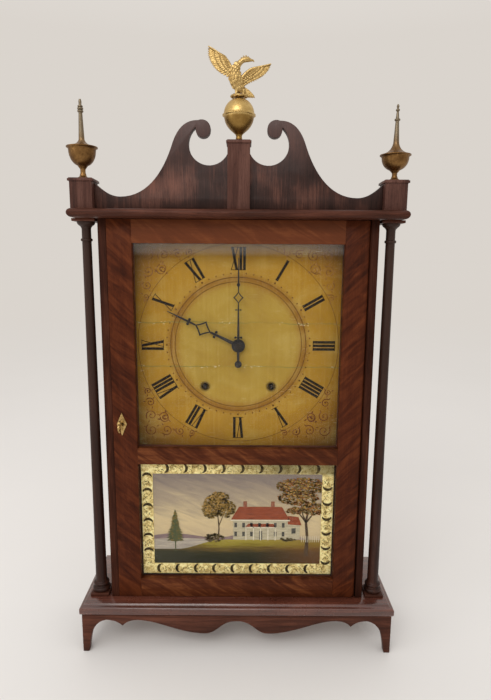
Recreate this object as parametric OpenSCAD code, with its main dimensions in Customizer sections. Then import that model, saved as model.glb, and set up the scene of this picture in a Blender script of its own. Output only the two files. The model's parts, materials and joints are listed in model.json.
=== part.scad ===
// Pillar-and-scroll shelf clock, drawn as its separate pieces.
// Millimetres, +Z up, front of the clock towards -Y, origin on the floor under the middle of the base.

/* [Case] */
// Width over the base moulding
base_w = 440; // [430:1:450]
// Depth over the base moulding
base_d = 128; // [126:1:134]
// Height of the bracket feet and their aprons
foot_h = 59.5; // [58:0.5:61]
// Thickness of the moulded base board
base_t = 14.5; // [13:0.5:16]
// Height between the base board and the cornice board
case_h = 527.5; // [524:0.5:532]
// Thickness of the case sides
side_t = 10.5; // [9:0.5:11]
// Thickness of the cornice board with its round nose
cornice_t = 11; // [10:0.5:12]
// Width over the cornice board
cornice_w = 422; // [416:1:428]

/* [Door] */
// Width of the door
door_w = 336.6; // [334:0.2:338]
// Thickness of the door frame
door_t = 18; // [16:0.5:20]
// Width of the door stiles
stile_w = 31.8; // [30:0.2:34]
// Height of the dial window
window_h = 274.3; // [270:0.1:278]
// Height of the tablet window
tablet_h = 171.7; // [168:0.1:175]

/* [Dial] */
// Height of the hands' centre above the floor
dial_z = 435; // [433:0.5:437]
// Width and height of the dial board
dial_size = 304; // [296:1:310]
// Distance of each winding square from the middle
winding_x = 46; // [45:0.5:47]
// Drop of the winding squares below the hands' centre
winding_drop = 58; // [57:0.5:59]

/* [Columns and crest] */
// Distance of each column from the middle
column_x = 196.6; // [194:0.1:198]
// Radius of a column shaft at its foot
column_r = 7.8; // [7:0.1:8.4]
// Distance of each side finial from the middle
finial_x = 196; // [194:0.5:198]
// Height of the scroll board's flanking blocks
plinth_h = 33.5; // [30:0.5:36]

/* [Hidden] */
$fn = 48;

// Play between two pieces that move past each other, and the running fit of a pivot in its hole
play = 0.5;
fit = 0.05;

// Levels from the floor up
base_top = foot_h + base_t;
case_top = base_top + case_h;
cornice_top = case_top + cornice_t;
plinth_top = cornice_top + plinth_h;

// Depths from the front to the back
front_y = -base_d / 2;
back_y = base_d / 2;
door_y = front_y + 22;
door_back_y = door_y + door_t;
glass_y = door_y + 9;
dial_y = front_y + 52;
dial_t = 8;
board_t = 8;
case_back_y = back_y - 4;
backboard_y = case_back_y - board_t;

// Case and door openings
side_in = door_w / 2 + 0.2;
side_out = side_in + side_t;
door_z0 = base_top + play;
door_z1 = case_top - play;
opening_w = door_w - 2 * stile_w;
top_rail_h = 30;
mid_rail_h = 23;
window_z1 = door_z1 - top_rail_h;
window_z0 = window_z1 - window_h;
tablet_z1 = window_z0 - mid_rail_h;
tablet_z0 = tablet_z1 - tablet_h;
rebate = 6;
glass_t = 2;

// Movement
plate_t = 2;
front_plate_y = 8;
back_plate_y = 38;
plate_w = 176;
plate_z0 = 350;
plate_z1 = 536;
pivot_r = 1.2;
winding_z = dial_z - winding_drop;
leaves = 8;
great_teeth = 66;
great_m = 2 * norm([winding_x, winding_drop]) / (great_teeth + leaves);
train_teeth = 72;
third_at = [-24, dial_z + 32];
third_m = 2 * norm([24, 32]) / (train_teeth + leaves);
escape_m = 0.9;
escape_gap = escape_m * (train_teeth + leaves) / 2;
escape_z = third_at[1] + sqrt(escape_gap * escape_gap - third_at[0] * third_at[0]);
escape_r = 17;
escape_teeth = 42;
verge_z = escape_z + 27;
great_wheel_y = 33;
train_y = 16;
drum_r = 16;
drum_y = [12, 30];
cord_y = 22;
cord_r = 0.9;

// Motion work behind the dial
cannon_teeth = 12;
minute_teeth = 36;
minute_pinion_teeth = 10;
hour_teeth = 40;
motion_gap = 24;
cannon_m = 2 * motion_gap / (cannon_teeth + minute_teeth);
hour_m = 2 * motion_gap / (minute_pinion_teeth + hour_teeth);
minute_wheel_at = [motion_gap * cos(20), dial_z + motion_gap * sin(20)];

// Strike train
strike_m = 1;
strike_teeth = 72;
strike_wheel_at = [-winding_x + 8, winding_z + sqrt(1600 - 64)];
hammer_at = [-78, 486];
bell_at = [-36, 570];
bell_r = 26;

// Weights and pulleys
weight_size = [40, 34, 118];
weight_x = 139;
weight_z0 = 84;
pulley_r = 12;
pulley_at = [weight_x - pulley_r, 578];

// Doorway hardware
hinge_set = 4.5;
hinge_at = [door_w / 2 - hinge_set, door_y + hinge_set];
pin_r = 1.5;
pin_reach = 9;
bush_r = 2.8;
bush_h = 10;
lock_at = [-door_w / 2 + 12, 331];
bolt_throw = 6;

// Pieces of outline
function bezier(a, b, c, d, n = 10) = [for (i = [1:n]) let (t = i / n, u = 1 - t)
    u * u * u * a + 3 * u * u * t * b + 3 * u * t * t * c + t * t * t * d];
function arc(c, r, a0, a1, n = 10) = [for (i = [0:n]) let (a = a0 + (a1 - a0) * i / n)
    [c[0] + r * cos(a), c[1] + r * sin(a)]];
function both_sides(right) = concat(right, [for (i = [len(right) - 1:-1:0]) [-right[i][0], right[i][1]]]);
function bead(r, z0, z1, out) = [for (a = [-90:22.5:90])
    [r + out * cos(a), (z0 + z1) / 2 + (z1 - z0) / 2 * sin(a)]];

module block(low, high) {
    translate(low) cube(high - low);
}

// An outline in the X-Z plane, from y to y + t
module panel(y, t) {
    translate([0, y + t, 0]) rotate([90, 0, 0]) linear_extrude(t) children();
}

// A turned shape whose axis is parallel to Y, at x and z, starting at y
module along_y(at, y) {
    translate([at[0], y, at[1]]) rotate([-90, 0, 0]) children();
}

module rod_y(at, y0, y1, r) {
    along_y(at, y0) cylinder(h = y1 - y0, r = r);
}

module left_and_right() {
    children();
    mirror([1, 0, 0]) children();
}

// A board whose front edge and ends carry one moulding: outline points are [setback, z]
module moulded_board(w, edge) {
    intersection() {
        panel(front_y - 1, base_d + 2)
            polygon(both_sides([for (p = edge) [w / 2 - p[0], p[1]]]));
        translate([-w / 2 - 1, 0, 0]) rotate([90, 0, 90]) linear_extrude(w + 2)
            polygon(concat([for (p = edge) [front_y + p[0], p[1]]],
                [[back_y, edge[len(edge) - 1][1]], [back_y, edge[0][1]]]));
    }
}

// A wheel or pinion with thin straight teeth, one of them pointing along the angle
module toothed(teeth, m, t, angle, bore) {
    root_r = m * (teeth / 2 - 1.1);
    tip_r = m * (teeth / 2 + 0.75);
    step = 360 / teeth;
    linear_extrude(t) difference() {
        polygon([for (i = [0:teeth - 1], k = [[-0.23, root_r], [-0.09, tip_r], [0.09, tip_r], [0.23, root_r]])
            let (a = angle + (i + k[0]) * step) [k[1] * cos(a), k[1] * sin(a)]]);
        circle(r = bore);
    }
}

// Angle, seen along +Y, from one arbor to another
function bearing(from, to) = atan2(from[1] - to[1], to[0] - from[0]);

// A wheel with four arms left between the crossings cut out of its web
module crossed_wheel(teeth, m, t, angle, bore, arm_w = 4) {
    rim_r = m * (teeth / 2 - 1.1) - 3;
    apex = arm_w / sqrt(2);
    difference() {
        toothed(teeth, m, t, angle, bore);
        for (q = [0:90:270]) rotate([0, 0, q + 45]) translate([0, 0, -1]) linear_extrude(t + 2)
            intersection() {
                difference() {
                    circle(r = rim_r);
                    circle(r = bore + 4);
                }
                polygon([[apex, 0], [apex + rim_r, rim_r], [apex + rim_r, -rim_r]]);
            }
    }
}

// Arbor with a pivot in each plate
module arbor(at, r) {
    rod_y(at, front_plate_y + plate_t + play, back_plate_y - play, r);
    rod_y(at, front_plate_y, back_plate_y + plate_t, pivot_r);
}

// Base

module base_board() color("#3b1a12") {
    edge = concat([[6.5, base_top], [5.5, base_top - 2.2]], [[4.2, base_top - 3]],
        arc([3, base_top - 6], 3, 90, 180, 5), [[0, foot_h + 2.5]], arc([2.5, foot_h + 2.5], 2.5, 180, 270, 4));
    difference() {
        moulded_board(base_w, edge);
        translate([hinge_at[0], hinge_at[1], base_top - 6]) cylinder(h = 7, r = pin_r);
    }
}

module front_apron() color("#3a1810") {
    arch_z = foot_h - 10;
    right = concat([[218, foot_h], [218, 0], [209.5, 0]],
        bezier([209.5, 0], [207, 26], [203, 46], [184, arch_z]),
        bezier([184, arch_z], [174, arch_z], [166, 46], [161, 40.4], 6),
        bezier([161, 40.4], [157, 46], [149, arch_z], [140, arch_z], 6),
        bezier([140, arch_z], [112, arch_z], [80, 29], [45, 29], 14),
        bezier([45, 29], [26, 29], [24, arch_z - 1], [0, arch_z - 1], 12));
    panel(front_y + 4, 10) polygon(both_sides(right));
}

module side_apron() {
    arch_z = foot_h - 12;
    outline = concat([[front_y + 14, foot_h], [front_y + 14, 0], [front_y + 17, 0]],
        bezier([front_y + 17, 0], [-44, 26], [-40, arch_z], [-18, arch_z], 8),
        bezier([-18, arch_z], [-8, arch_z], [-3, 42], [0, 38], 5),
        bezier([0, 38], [3, 42], [8, arch_z], [18, arch_z], 5),
        bezier([18, arch_z], [40, arch_z], [48, 26], [52, 0], 8),
        [[back_y - 3, 0], [back_y - 3, foot_h]]);
    translate([211.5, 0, 0]) rotate([90, 0, 90]) linear_extrude(6.5) polygon(outline);
}

module side_aprons() color("#35160f") left_and_right() side_apron();

// Case

module case_side() {
    block([side_in, door_y, base_top], [side_out, case_back_y, case_top]);
}

module case_side_l() color("#40201a") difference() {
    mirror([1, 0, 0]) case_side();
    block([-side_in - bolt_throw - 1.5, lock_bolt_y[0] - 1, lock_at[1] - 8],
        [-side_in + 1, lock_bolt_y[1] + 1, lock_at[1] + 8]);
}

// The hinge side's inner front arris is eased, so that the door clears it when it stands wide open
module case_side_r() color("#40201a") difference() {
    case_side();
    translate([side_in, door_y, base_top - 1]) linear_extrude(case_h + 2)
        polygon([[-1, -1], [1.4, -1], [1.4, 0], [0, 5], [-1, 5]]);
}

module backboard() color("#6a4a30") {
    block([-side_in, backboard_y, base_top], [side_in, case_back_y, case_top]);
}

module cornice_board() color("#3c1913") {
    nose_r = cornice_t / 2;
    difference() {
        moulded_board(cornice_w, arc([nose_r, case_top + nose_r], nose_r, 90, 270, 10));
        translate([hinge_at[0], hinge_at[1], case_top - 1]) cylinder(h = 7, r = pin_r);
    }
}

// Crest

// Right half of the scroll board, from the flanking block in to the middle
function scroll_outline() =
    let (eye = [44.6, 97.1], crown = [51.5, 78.7], crown_r = 29.4, cove = [37.1, 80.4], cove_r = 25.8)
    concat([[182, 0], [182, 32.5]],
        bezier([182, 32.5], [172, 23], [161, 16.2], [149.7, 16.2]),
        bezier([149.7, 16.2], [118, 16.2], [97, 42], [84.5, 76], 14),
        bezier([84.5, 76], [80, 90], [72, 108.1], [51.5, 108.1], 12),
        [for (a = [60:15:375]) let (r = a < 180 ? 12.6 - 3.4 * (a - 60) / 120 : 9.2)
            [eye[0] + r * cos(a), eye[1] + r * sin(a)]],
        arc(cove, cove_r, 48, -154, 20),
        [[14, 79.5], [0, 79.5]]);

module scroll_board() color("#4a2a26") {
    translate([0, 0, cornice_top]) panel(scroll_y, scroll_t) polygon(both_sides(scroll_outline()));
}

scroll_y = front_y + 26;
scroll_t = 12;

module cap(x, w, y0, y1, z) {
    block([x - w / 2, y0, z], [x + w / 2, y1, z + 3]);
    block([x - w / 2 + 1.2, y0 + 1.2, z + 3], [x + w / 2 - 1.2, y1 - 1.2, z + 4]);
}

plinth_w = 28;
plinth_y = front_y + 15;

module side_plinths() color("#3d1d18") left_and_right() {
    block([finial_x - plinth_w / 2, plinth_y, cornice_top],
        [finial_x + plinth_w / 2, plinth_y + plinth_w, plinth_top]);
    cap(finial_x, plinth_w + 3.6, plinth_y - 1.8, plinth_y + plinth_w + 1.8, plinth_top);
}

centre_top = cornice_top + 79.5;

module centre_plinth() color("#4a2420") {
    block([-14, plinth_y + 1, cornice_top], [14, scroll_y, centre_top]);
    cap(0, 31, plinth_y - 1, plinth_y + plinth_w, centre_top);
}

// Columns

column_y = front_y + 34.5;
block_h = 4;
abacus_h = 3.5;

module column(x) {
    foot = base_top + block_h;
    head = case_top - abacus_h;
    top_r = column_r * 0.76;
    translate([x, column_y, 0]) rotate_extrude() polygon(concat([[0, foot]],
        bead(column_r + 1.2, foot, foot + 7, 3.4),
        [[column_r + 1, foot + 8]],
        bead(column_r + 0.6, foot + 9, foot + 14, 2.6),
        bezier([column_r + 1, foot + 15], [column_r, foot + 17], [column_r, foot + 18], [column_r, foot + 20], 4),
        [[top_r, head - 26]],
        bead(top_r, head - 25, head - 21, 1.6),
        [[top_r, head - 20], [top_r, head - 9]],
        bezier([top_r, head - 9], [top_r + 0.5, head - 5], [top_r + 5, head - 5], [top_r + 5.5, head - 1.5], 6),
        [[top_r + 5.5, head], [0, head]]));
}

module column_l() color("#3a1711") column(-column_x);
module column_r() color("#3a1711") column(column_x);

module column_blocks() color("#3a1711") left_and_right() {
    block([column_x - 13, column_y - 13, base_top], [column_x + 13, column_y + 13, base_top + block_h]);
    block([column_x - 14.5, column_y - 14.5, case_top - abacus_h], [column_x + 14.5, column_y + 14.5, case_top]);
}

// Finials

finial_y = front_y + 29;
finial_z = plinth_top + 4;

// A brass urn with a lid that sweeps up into a spire. rim_h is measured from its foot, lid_h from its rim and
// spire_h from its rim to its tip; crown is the outline of the spire's turned end, measured from the tip
module finial(x, rim_h, lid_h, spire_h, crown) {
    tip = rim_h + spire_h;
    waist = rim_h * 0.4;
    translate([x, finial_y, finial_z]) rotate_extrude() polygon(concat([[0, 0], [6.6, 0], [6.6, 1.4], [4.4, 3.2]],
        [[3.2, rim_h * 0.2], [3.3, rim_h * 0.3]],
        bezier([4.4, waist], [10.5, waist + 1], [16.4, rim_h * 0.6], [16.8, rim_h - 4], 9),
        [[17, rim_h - 2.4], [19.2, rim_h - 1], [19.2, rim_h], [17.2, rim_h + 0.5]],
        bezier([17.2, rim_h + 0.5], [10, rim_h + lid_h * 0.2], [5.4, rim_h + lid_h * 0.42], [3.6, rim_h + lid_h], 8),
        [for (point = crown) [point[0], tip + point[1]]], [[0, tip]]));
}

crown_l = concat([[2.3, -16]], bead(2.4, -15.6, -12.6, 1.3), bead(2.4, -12.4, -9.6, 1.3), bead(2.2, -9.4, -7.2, 1),
    [[1.7, -6.6], [1.9, -2.6], [1.2, 0]]);
crown_r = concat([[2.2, -20]], bead(2.2, -19.4, -16.6, 1.4), [[2, -15.6], [1.4, -9]], bead(1.4, -8, -5.4, 1.1),
    [[1.2, -4.6], [1.7, -2], [0.9, 0]]);

module finial_l() color("#8d7342") finial(-finial_x, 38.5, 8.5, 56, crown_l);
module finial_r() color("#8d7342") finial(finial_x, 31.5, 14, 59.5, crown_r);

ball_z = centre_top + 36;

module ball_finial() color("#b08d3e") {
    foot = centre_top + 4;
    translate([0, finial_y, 0]) rotate_extrude() polygon(concat([[0, foot], [7, foot], [7, foot + 1.2], [4.2, foot + 2.6]],
        [[3.6, foot + 6]],
        bezier([3.6, foot + 7], [5.4, foot + 11], [18, ball_z - 17], [18.6, ball_z - 1.6], 12),
        [[20.6, ball_z - 1.7], [20.6, ball_z - 0.7]],
        arc([0, ball_z], 18.9, 1, 78, 12), [[2, ball_z + 19], [0, ball_z + 19]]));
}

perch_z = ball_z + 19;

module feather_board(points, y, t) {
    translate([0, 0, perch_z]) panel(finial_y + y, t) polygon(points);
}

// Spread eagle on a small ring perch, its head turned to +X
module eagle() color("#c39a3c") {
    translate([0, finial_y, perch_z]) cylinder(h = 3, r = 9.5);
    hull() {
        translate([-5, finial_y, perch_z + 26]) sphere(r = 7.5, $fn = 24);
        translate([-1, finial_y, perch_z + 13]) sphere(r = 6.3, $fn = 24);
        translate([1.5, finial_y, perch_z + 3]) sphere(r = 2.5, $fn = 16);
    }
    hull() {
        translate([-4.4, finial_y, perch_z + 31]) sphere(r = 4.8, $fn = 20);
        translate([0.8, finial_y, perch_z + 40.4]) sphere(r = 3, $fn = 20);
    }
    hull() {
        translate([1.6, finial_y, perch_z + 41.5]) sphere(r = 2.8, $fn = 20);
        translate([8, finial_y, perch_z + 44]) sphere(r = 2.8, $fn = 20);
    }
    hull() {
        translate([8, finial_y, perch_z + 44]) sphere(r = 2.6, $fn = 20);
        translate([17, finial_y, perch_z + 42.4]) sphere(r = 0.8, $fn = 12);
    }
    feather_board([[-38.3, 59], [-39, 50], [-36.7, 42], [-30.8, 33.4], [-23.3, 28], [-8, 21], [-3, 30],
        [-10, 34], [-11.7, 38.1], [-15.8, 44.3], [-23.3, 49.8], [-31.7, 55.2]], -3, 4);
    feather_board([[39.2, 39.2], [35.8, 31], [30, 25.7], [21.7, 21], [5, 13.5], [-2, 22], [10, 29.5],
        [13.3, 32.7], [21.7, 35], [31.7, 37.3]], -3, 4);
    feather_board([[0, 14], [8, 12], [18, 0.5], [9, 0.5], [1, 6]], 1, 3);
}

// Door

module stile(x0) {
    block([x0, door_y, door_z0], [x0 + stile_w, door_back_y, door_z1]);
}

// Glass rebate cut from the back of the frame round one opening
module glass_rebate(z0, z1) {
    block([-opening_w / 2 - rebate, glass_y, z0 - rebate], [opening_w / 2 + rebate, door_back_y + 1, z1 + rebate]);
}

module door_rebates() {
    glass_rebate(window_z0, window_z1);
    glass_rebate(tablet_z0, tablet_z1);
}

module door_stile_l() color("#4a1f15") difference() {
    stile(-door_w / 2);
    door_rebates();
    rod_y([lock_at[0], lock_at[1]], door_y - 1, door_y + 9, 2.6);
    block([-door_w / 2 - 1, door_y + 8, lock_at[1] - 22], [-door_w / 2 + 22, door_back_y + 1, lock_at[1] + 22]);
}

// The hinge stile's front edge is rounded about the pins, so that it clears the case side as it turns
module door_stile_r() color("#4a1f15") difference() {
    union() {
        block([door_w / 2 - stile_w, door_y, door_z0], [hinge_at[0], door_back_y, door_z1]);
        block([hinge_at[0], hinge_at[1], door_z0], [door_w / 2, door_back_y, door_z1]);
        translate([hinge_at[0], hinge_at[1], door_z0]) cylinder(h = door_z1 - door_z0, r = hinge_set);
    }
    door_rebates();
    for (z = [door_z0 - 1, door_z1 - bush_h])
        translate([hinge_at[0], hinge_at[1], z]) cylinder(h = bush_h + 1, r = bush_r);
}

module door_rails() color("#4a1f15") difference() {
    for (z = [[window_z1, door_z1], [tablet_z1, window_z0], [door_z0, tablet_z0]])
        block([-opening_w / 2, door_y, z[0]], [opening_w / 2, door_back_y, z[1]]);
    door_rebates();
}

module pane(z0, z1) {
    edge = rebate - play;
    block([-opening_w / 2 - edge, glass_y, z0 - edge], [opening_w / 2 + edge, glass_y + glass_t, z1 + edge]);
}

module dial_glass() color("#dfe8e6", 0.3) pane(window_z0, window_z1);
module tablet_glass() color("#a9a58f") pane(tablet_z0, tablet_z1);

// Pine strips that hold each pane in its rebate
module glazing_beads() color("#7b5a3a") {
    edge = rebate - play;
    for (z = [[window_z0, window_z1], [tablet_z0, tablet_z1]])
        translate([0, glass_y + glass_t, 0]) difference() {
            block([-opening_w / 2 - edge, 0, z[0] - edge], [opening_w / 2 + edge, 5, z[1] + edge]);
            block([-opening_w / 2, -1, z[0]], [opening_w / 2, 6, z[1]]);
        }
}

// The door turns on two pins, one in the base board and one in the cornice board
module hinge_pins() color("#7d6534") {
    translate([hinge_at[0], hinge_at[1], base_top - 6]) cylinder(h = 6 + pin_reach, r = pin_r);
    translate([hinge_at[0], hinge_at[1], case_top - pin_reach]) cylinder(h = pin_reach + 6, r = pin_r);
}

module pin_holes(r) {
    for (z = [base_top - 7, case_top - pin_reach - 1])
        translate([hinge_at[0], hinge_at[1], z]) cylinder(h = pin_reach + 8, r = r);
}

// Brass bushes let into the two ends of the hinge stile
module hinge_bushes() color("#7d6534") difference() {
    for (z = [door_z0, door_z1 - bush_h])
        translate([hinge_at[0], hinge_at[1], z]) cylinder(h = bush_h, r = bush_r);
    pin_holes(pin_r + fit);
}

// Lock

lock_bolt_y = [door_y + 10.5, door_y + 14.5];

module escutcheon() color("#c9a24a") panel(door_y - 1, 1) difference() {
    translate(lock_at) polygon([[0, 16], [6.8, 0], [0, -16], [-6.8, 0]]);
    translate(lock_at) circle(r = 2.6);
}

module lock_case() color("#8d7342") difference() {
    block([-door_w / 2 + 0.2, door_y + 8.2, lock_at[1] - 21], [-door_w / 2 + 21, door_back_y, lock_at[1] + 21]);
    block([-door_w / 2 - 1, lock_bolt_y[0] - 0.4, lock_at[1] - 6.4],
        [-door_w / 2 + 16, lock_bolt_y[1] + 0.4, lock_at[1] + 6.4]);
    rod_y(lock_at, door_y + 7, lock_bolt_y[0], 2.6);
}

module lock_bolt() color("#9c7f45") {
    block([-door_w / 2 + 0.3, lock_bolt_y[0], lock_at[1] - 6], [-door_w / 2 + 7.5, lock_bolt_y[1], lock_at[1] + 6]);
}

// Key: its shank lies in the keyhole and its three-lobed bow hangs in front of the door
module key() color("#c9a24a") {
    bow_y = front_y + 0.8;
    rod_y(lock_at, bow_y + 9, door_y + 9.5, 1.7);
    rod_y(lock_at, bow_y + 10, bow_y + 11.5, 2.6);
    translate([lock_at[0] - 1, 0, lock_at[1]]) rotate([90, 0, 90]) linear_extrude(2) difference() {
        union() {
            translate([bow_y + 5, 0]) circle(r = 5);
            translate([bow_y + 8, 4.6]) circle(r = 3.6);
            translate([bow_y + 8, -4.6]) circle(r = 3.6);
        }
        translate([bow_y + 4.4, 0]) circle(r = 2.4);
        translate([bow_y + 8, 4.8]) circle(r = 1.7);
        translate([bow_y + 8, -4.8]) circle(r = 1.7);
    }
}

// Dial and hands

module dial() color("#d0b25c") {
    half = dial_size / 2;
    difference() {
        block([-half, dial_y, dial_z - half], [half, dial_y + dial_t, dial_z + half]);
        rod_y([0, dial_z], dial_y - 1, dial_y + dial_t + 1, 6);
        for (x = [-winding_x, winding_x]) rod_y([x, winding_z], dial_y - 1, dial_y + dial_t + 1, 5);
    }
}

module dial_cleats() color("#7b5a3a") left_and_right() {
    block([dial_size / 2 - 10, dial_y + dial_t, dial_z - 146], [side_in, dial_y + dial_t + 6, dial_z + 146]);
    block([dial_size / 2 + 1, dial_y, dial_z - 146], [side_in, dial_y + dial_t, dial_z + 146]);
}

// Four-pointed star with hollow sides
module star(w, h) {
    polygon([for (k = [0:7]) let (reach = k % 2 == 0 ? 0.5 : 0.24)
        [w * reach * cos(k * 45), h * reach * sin(k * 45)]]);
}

// A hand turned clockwise from twelve, with an open star between two cross-bars, and a tail
module hand(y, angle, length, star_at, star_w, star_h, boss_r, tail, bore) {
    star_z0 = star_at - star_h / 2;
    star_z1 = star_at + star_h / 2;
    translate([0, 0, dial_z]) rotate([0, angle, 0]) difference() {
        union() {
            panel(y, hand_t) circle(r = boss_r);
            panel(y, hand_t) polygon([[-1.5, 0], [-0.8, star_z0 + 1.5], [0.8, star_z0 + 1.5], [1.5, 0]]);
            panel(y, hand_t) translate([0, star_at]) difference() {
                star(star_w, star_h);
                star(star_w - 5, star_h - 6);
            }
            panel(y, hand_t) polygon([[-0.8, star_z1 - 1.5], [-1.4, length * 0.72], [0, length],
                [1.4, length * 0.72], [0.8, star_z1 - 1.5]]);
            for (z = [star_z0 - 3, star_z1 + 3])
                panel(y, hand_t) translate([0, z]) square([star_w / 2, 1.5], center = true);
            if (tail > 0) {
                panel(y, hand_t) translate([-1.2, -tail]) square([2.4, tail]);
                panel(y, hand_t) translate([0, -tail]) circle(r = 4.6);
            }
        }
        rod_y([0, 0], y - 1, y + hand_t + 1, bore);
    }
}

// Bores of the minute hand on its arbor and of the hour hand on its pipe
hand_bore = [2.5, 4];
minute_hand_y = dial_y - 9;
hour_hand_y = dial_y - 5;
hour_angle = 296;
hand_t = 1;

module minute_hand() color("#1c1a19") hand(minute_hand_y, 0, 119, 66, 14, 17, 6, 25, hand_bore[0]);
module hour_hand() color("#1c1a19") hand(hour_hand_y, hour_angle, 107, 53.5, 22, 24, 9, 0, hand_bore[1]);

// Centre arbor: hand cap, minute hand seat, cannon pinion, centre wheel and its pinion
module centre_arbor() color("#b39347") {
    at = [0, dial_z];
    rod_y(at, minute_hand_y - 1.6, minute_hand_y, 4);
    rod_y(at, minute_hand_y, front_plate_y + plate_t + 2, hand_bore[0]);
    along_y(at, 4.5) toothed(cannon_teeth, cannon_m, 2, bearing(at, minute_wheel_at), 1);
    rod_y(at, front_plate_y + plate_t + 2, back_plate_y - play, 2.6);
    rod_y(at, back_plate_y - play, back_plate_y + plate_t, pivot_r);
    along_y(at, train_y) crossed_wheel(train_teeth, third_m, 2, bearing(at, third_at), 2);
    along_y(at, great_wheel_y - 2) toothed(leaves, great_m, 5, bearing(at, [winding_x, winding_z]) + 180 / leaves, 1);
}

module hour_pipe() color("#b39347") {
    at = [0, dial_z];
    difference() {
        union() {
            rod_y(at, hour_hand_y - 1, 2.5, 4);
            along_y(at, 0.5) crossed_wheel(hour_teeth, hour_m, 2, bearing(at, minute_wheel_at) + 180 / hour_teeth, 3.9);
        }
        rod_y(at, hour_hand_y - 2, 4, hand_bore[0] + fit);
    }
}

module minute_wheel() color("#b39347") {
    back = bearing(minute_wheel_at, [0, dial_z]);
    difference() {
        union() {
            along_y(minute_wheel_at, 4.5) crossed_wheel(minute_teeth, cannon_m, 2, back + 180 / minute_teeth, 2);
            along_y(minute_wheel_at, 0.5) toothed(minute_pinion_teeth, hour_m, 2, back, 1);
            rod_y(minute_wheel_at, 2.5, 6.5, 3);
        }
        rod_y(minute_wheel_at, 0, 7, 1.5 + fit);
    }
}

// Movement frame

module plate(y) {
    block([-plate_w / 2, y, plate_z0], [plate_w / 2, y + plate_t, plate_z1]);
}

pillar_at = [[-84, 356], [74, 446], [-62, 526], [78, 526]];

module front_plate() color("#b8964a") {
    difference() {
        plate(front_plate_y);
        rod_y([0, dial_z], front_plate_y - 1, front_plate_y + 3, hand_bore[0] + fit);
        for (at = [third_at, [0, escape_z], [0, verge_z], strike_wheel_at, hammer_at])
            rod_y(at, front_plate_y - 1, front_plate_y + 3, pivot_r + fit);
        for (x = [-winding_x, winding_x])
            rod_y([x, winding_z], front_plate_y - 1, front_plate_y + 3, 3 + fit);
    }
    rod_y(minute_wheel_at, -0.5, front_plate_y, 1.5);
}

module back_plate() color("#b8964a") difference() {
    plate(back_plate_y);
    for (at = [[0, dial_z], third_at, [0, escape_z], [0, verge_z], strike_wheel_at, hammer_at,
            [-winding_x, winding_z], [winding_x, winding_z]])
        rod_y(at, back_plate_y - 1, back_plate_y + 3, pivot_r + fit);
}

module plate_pillars() color("#a58743") for (at = pillar_at) {
    rod_y(at, front_plate_y + plate_t, back_plate_y, 4);
    rod_y(at, back_plate_y + plate_t, backboard_y, 4);
}

// Time train

// Drum, its winding square and its ratchet wheel; the great wheel runs loose behind it
module drum(x) {
    at = [x, winding_z];
    rod_y(at, dial_y - 1, drum_y[0], 3);
    rod_y(at, drum_y[0], drum_y[1], drum_r - 1.5);
    for (y = [drum_y[0], drum_y[1] - 1.5]) rod_y(at, y, y + 1.5, drum_r + 4);
    rod_y(at, drum_y[1], back_plate_y - play, 3);
    rod_y(at, back_plate_y - play, back_plate_y + plate_t, pivot_r);
}

module winding_square(x) {
    translate([x, dial_y - 3, winding_z]) rotate([-90, 0, 0]) cylinder(h = 2, r = 3, $fn = 4);
}

module time_drum() color("#b39347") {
    drum(winding_x);
    winding_square(winding_x);
}

module strike_drum() color("#b39347") {
    drum(-winding_x);
    winding_square(-winding_x);
}

module time_great_wheel() color("#b39347") {
    at = [winding_x, winding_z];
    along_y(at, great_wheel_y) crossed_wheel(great_teeth, great_m, 2, bearing(at, [0, dial_z]), 3 + fit);
}

module third_wheel() color("#b39347") {
    arbor(third_at, 2);
    along_y(third_at, train_y - 1)
        toothed(leaves, third_m, 4, bearing(third_at, [0, dial_z]) + 180 / leaves, 1);
    along_y(third_at, train_y + 6) crossed_wheel(train_teeth, escape_m, 1.6, bearing(third_at, [0, escape_z]), 1.5);
}

module escape_wheel() color("#b39347") {
    at = [0, escape_z];
    step = 360 / escape_teeth;
    arbor(at, 1.8);
    along_y(at, train_y + 5) toothed(leaves, escape_m, 4, bearing(at, third_at) + 180 / leaves, 1);
    along_y(at, train_y + 12) linear_extrude(1.2) difference() {
        polygon([for (i = [0:escape_teeth - 1], k = [[0, escape_r - 3], [0.2, escape_r], [0.34, escape_r], [0.5, escape_r - 3]])
            let (a = (i + k[0]) * step) [k[1] * cos(a), k[1] * sin(a)]]);
        for (a = [0:60:300]) rotate(a) translate([8.5, 0]) circle(r = 3.2);
    }
}

// Verge: the strip above the escape wheel, on an arbor whose crutch reaches behind the back plate
module verge() color("#6f6a60") {
    at = [0, verge_z];
    pallet_x = 14.5;
    arbor(at, 1.6);
    along_y(at, train_y + 11) linear_extrude(3) difference() {
        polygon([[-3, -3], [3, -3], [6, 2], [pallet_x, 9], [pallet_x - 1.5, 12.4], [pallet_x - 3.5, 11],
            [3, 5.5], [-3, 5.5], [-pallet_x + 3.5, 11], [-pallet_x + 1.5, 12.4], [-pallet_x, 9], [-6, 2]]);
        circle(r = 1);
    }
    rod_y(at, back_plate_y + plate_t, pendulum_y - 2, pivot_r);
    block([-1, pendulum_y - 3, verge_z - 30], [1, pendulum_y - 2, verge_z]);
    left_and_right() block([1.2, pendulum_y - 3, verge_z - 32], [2.2, pendulum_y + 2, verge_z - 29]);
    block([-2.2, pendulum_y - 3, verge_z - 31], [2.2, pendulum_y - 2, verge_z - 29]);
}

// Pendulum

pendulum_y = 46;
bob_z = 242;

module suspension_cock() color("#a58743") {
    block([-5, back_plate_y + plate_t, verge_z + 4], [5, pendulum_y + 2, verge_z + 9]);
}

module pendulum_rod() color("#8a857a") {
    translate([0, pendulum_y, bob_z - 34]) cylinder(h = verge_z - bob_z + 37.6, r = 0.9);
}

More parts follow.
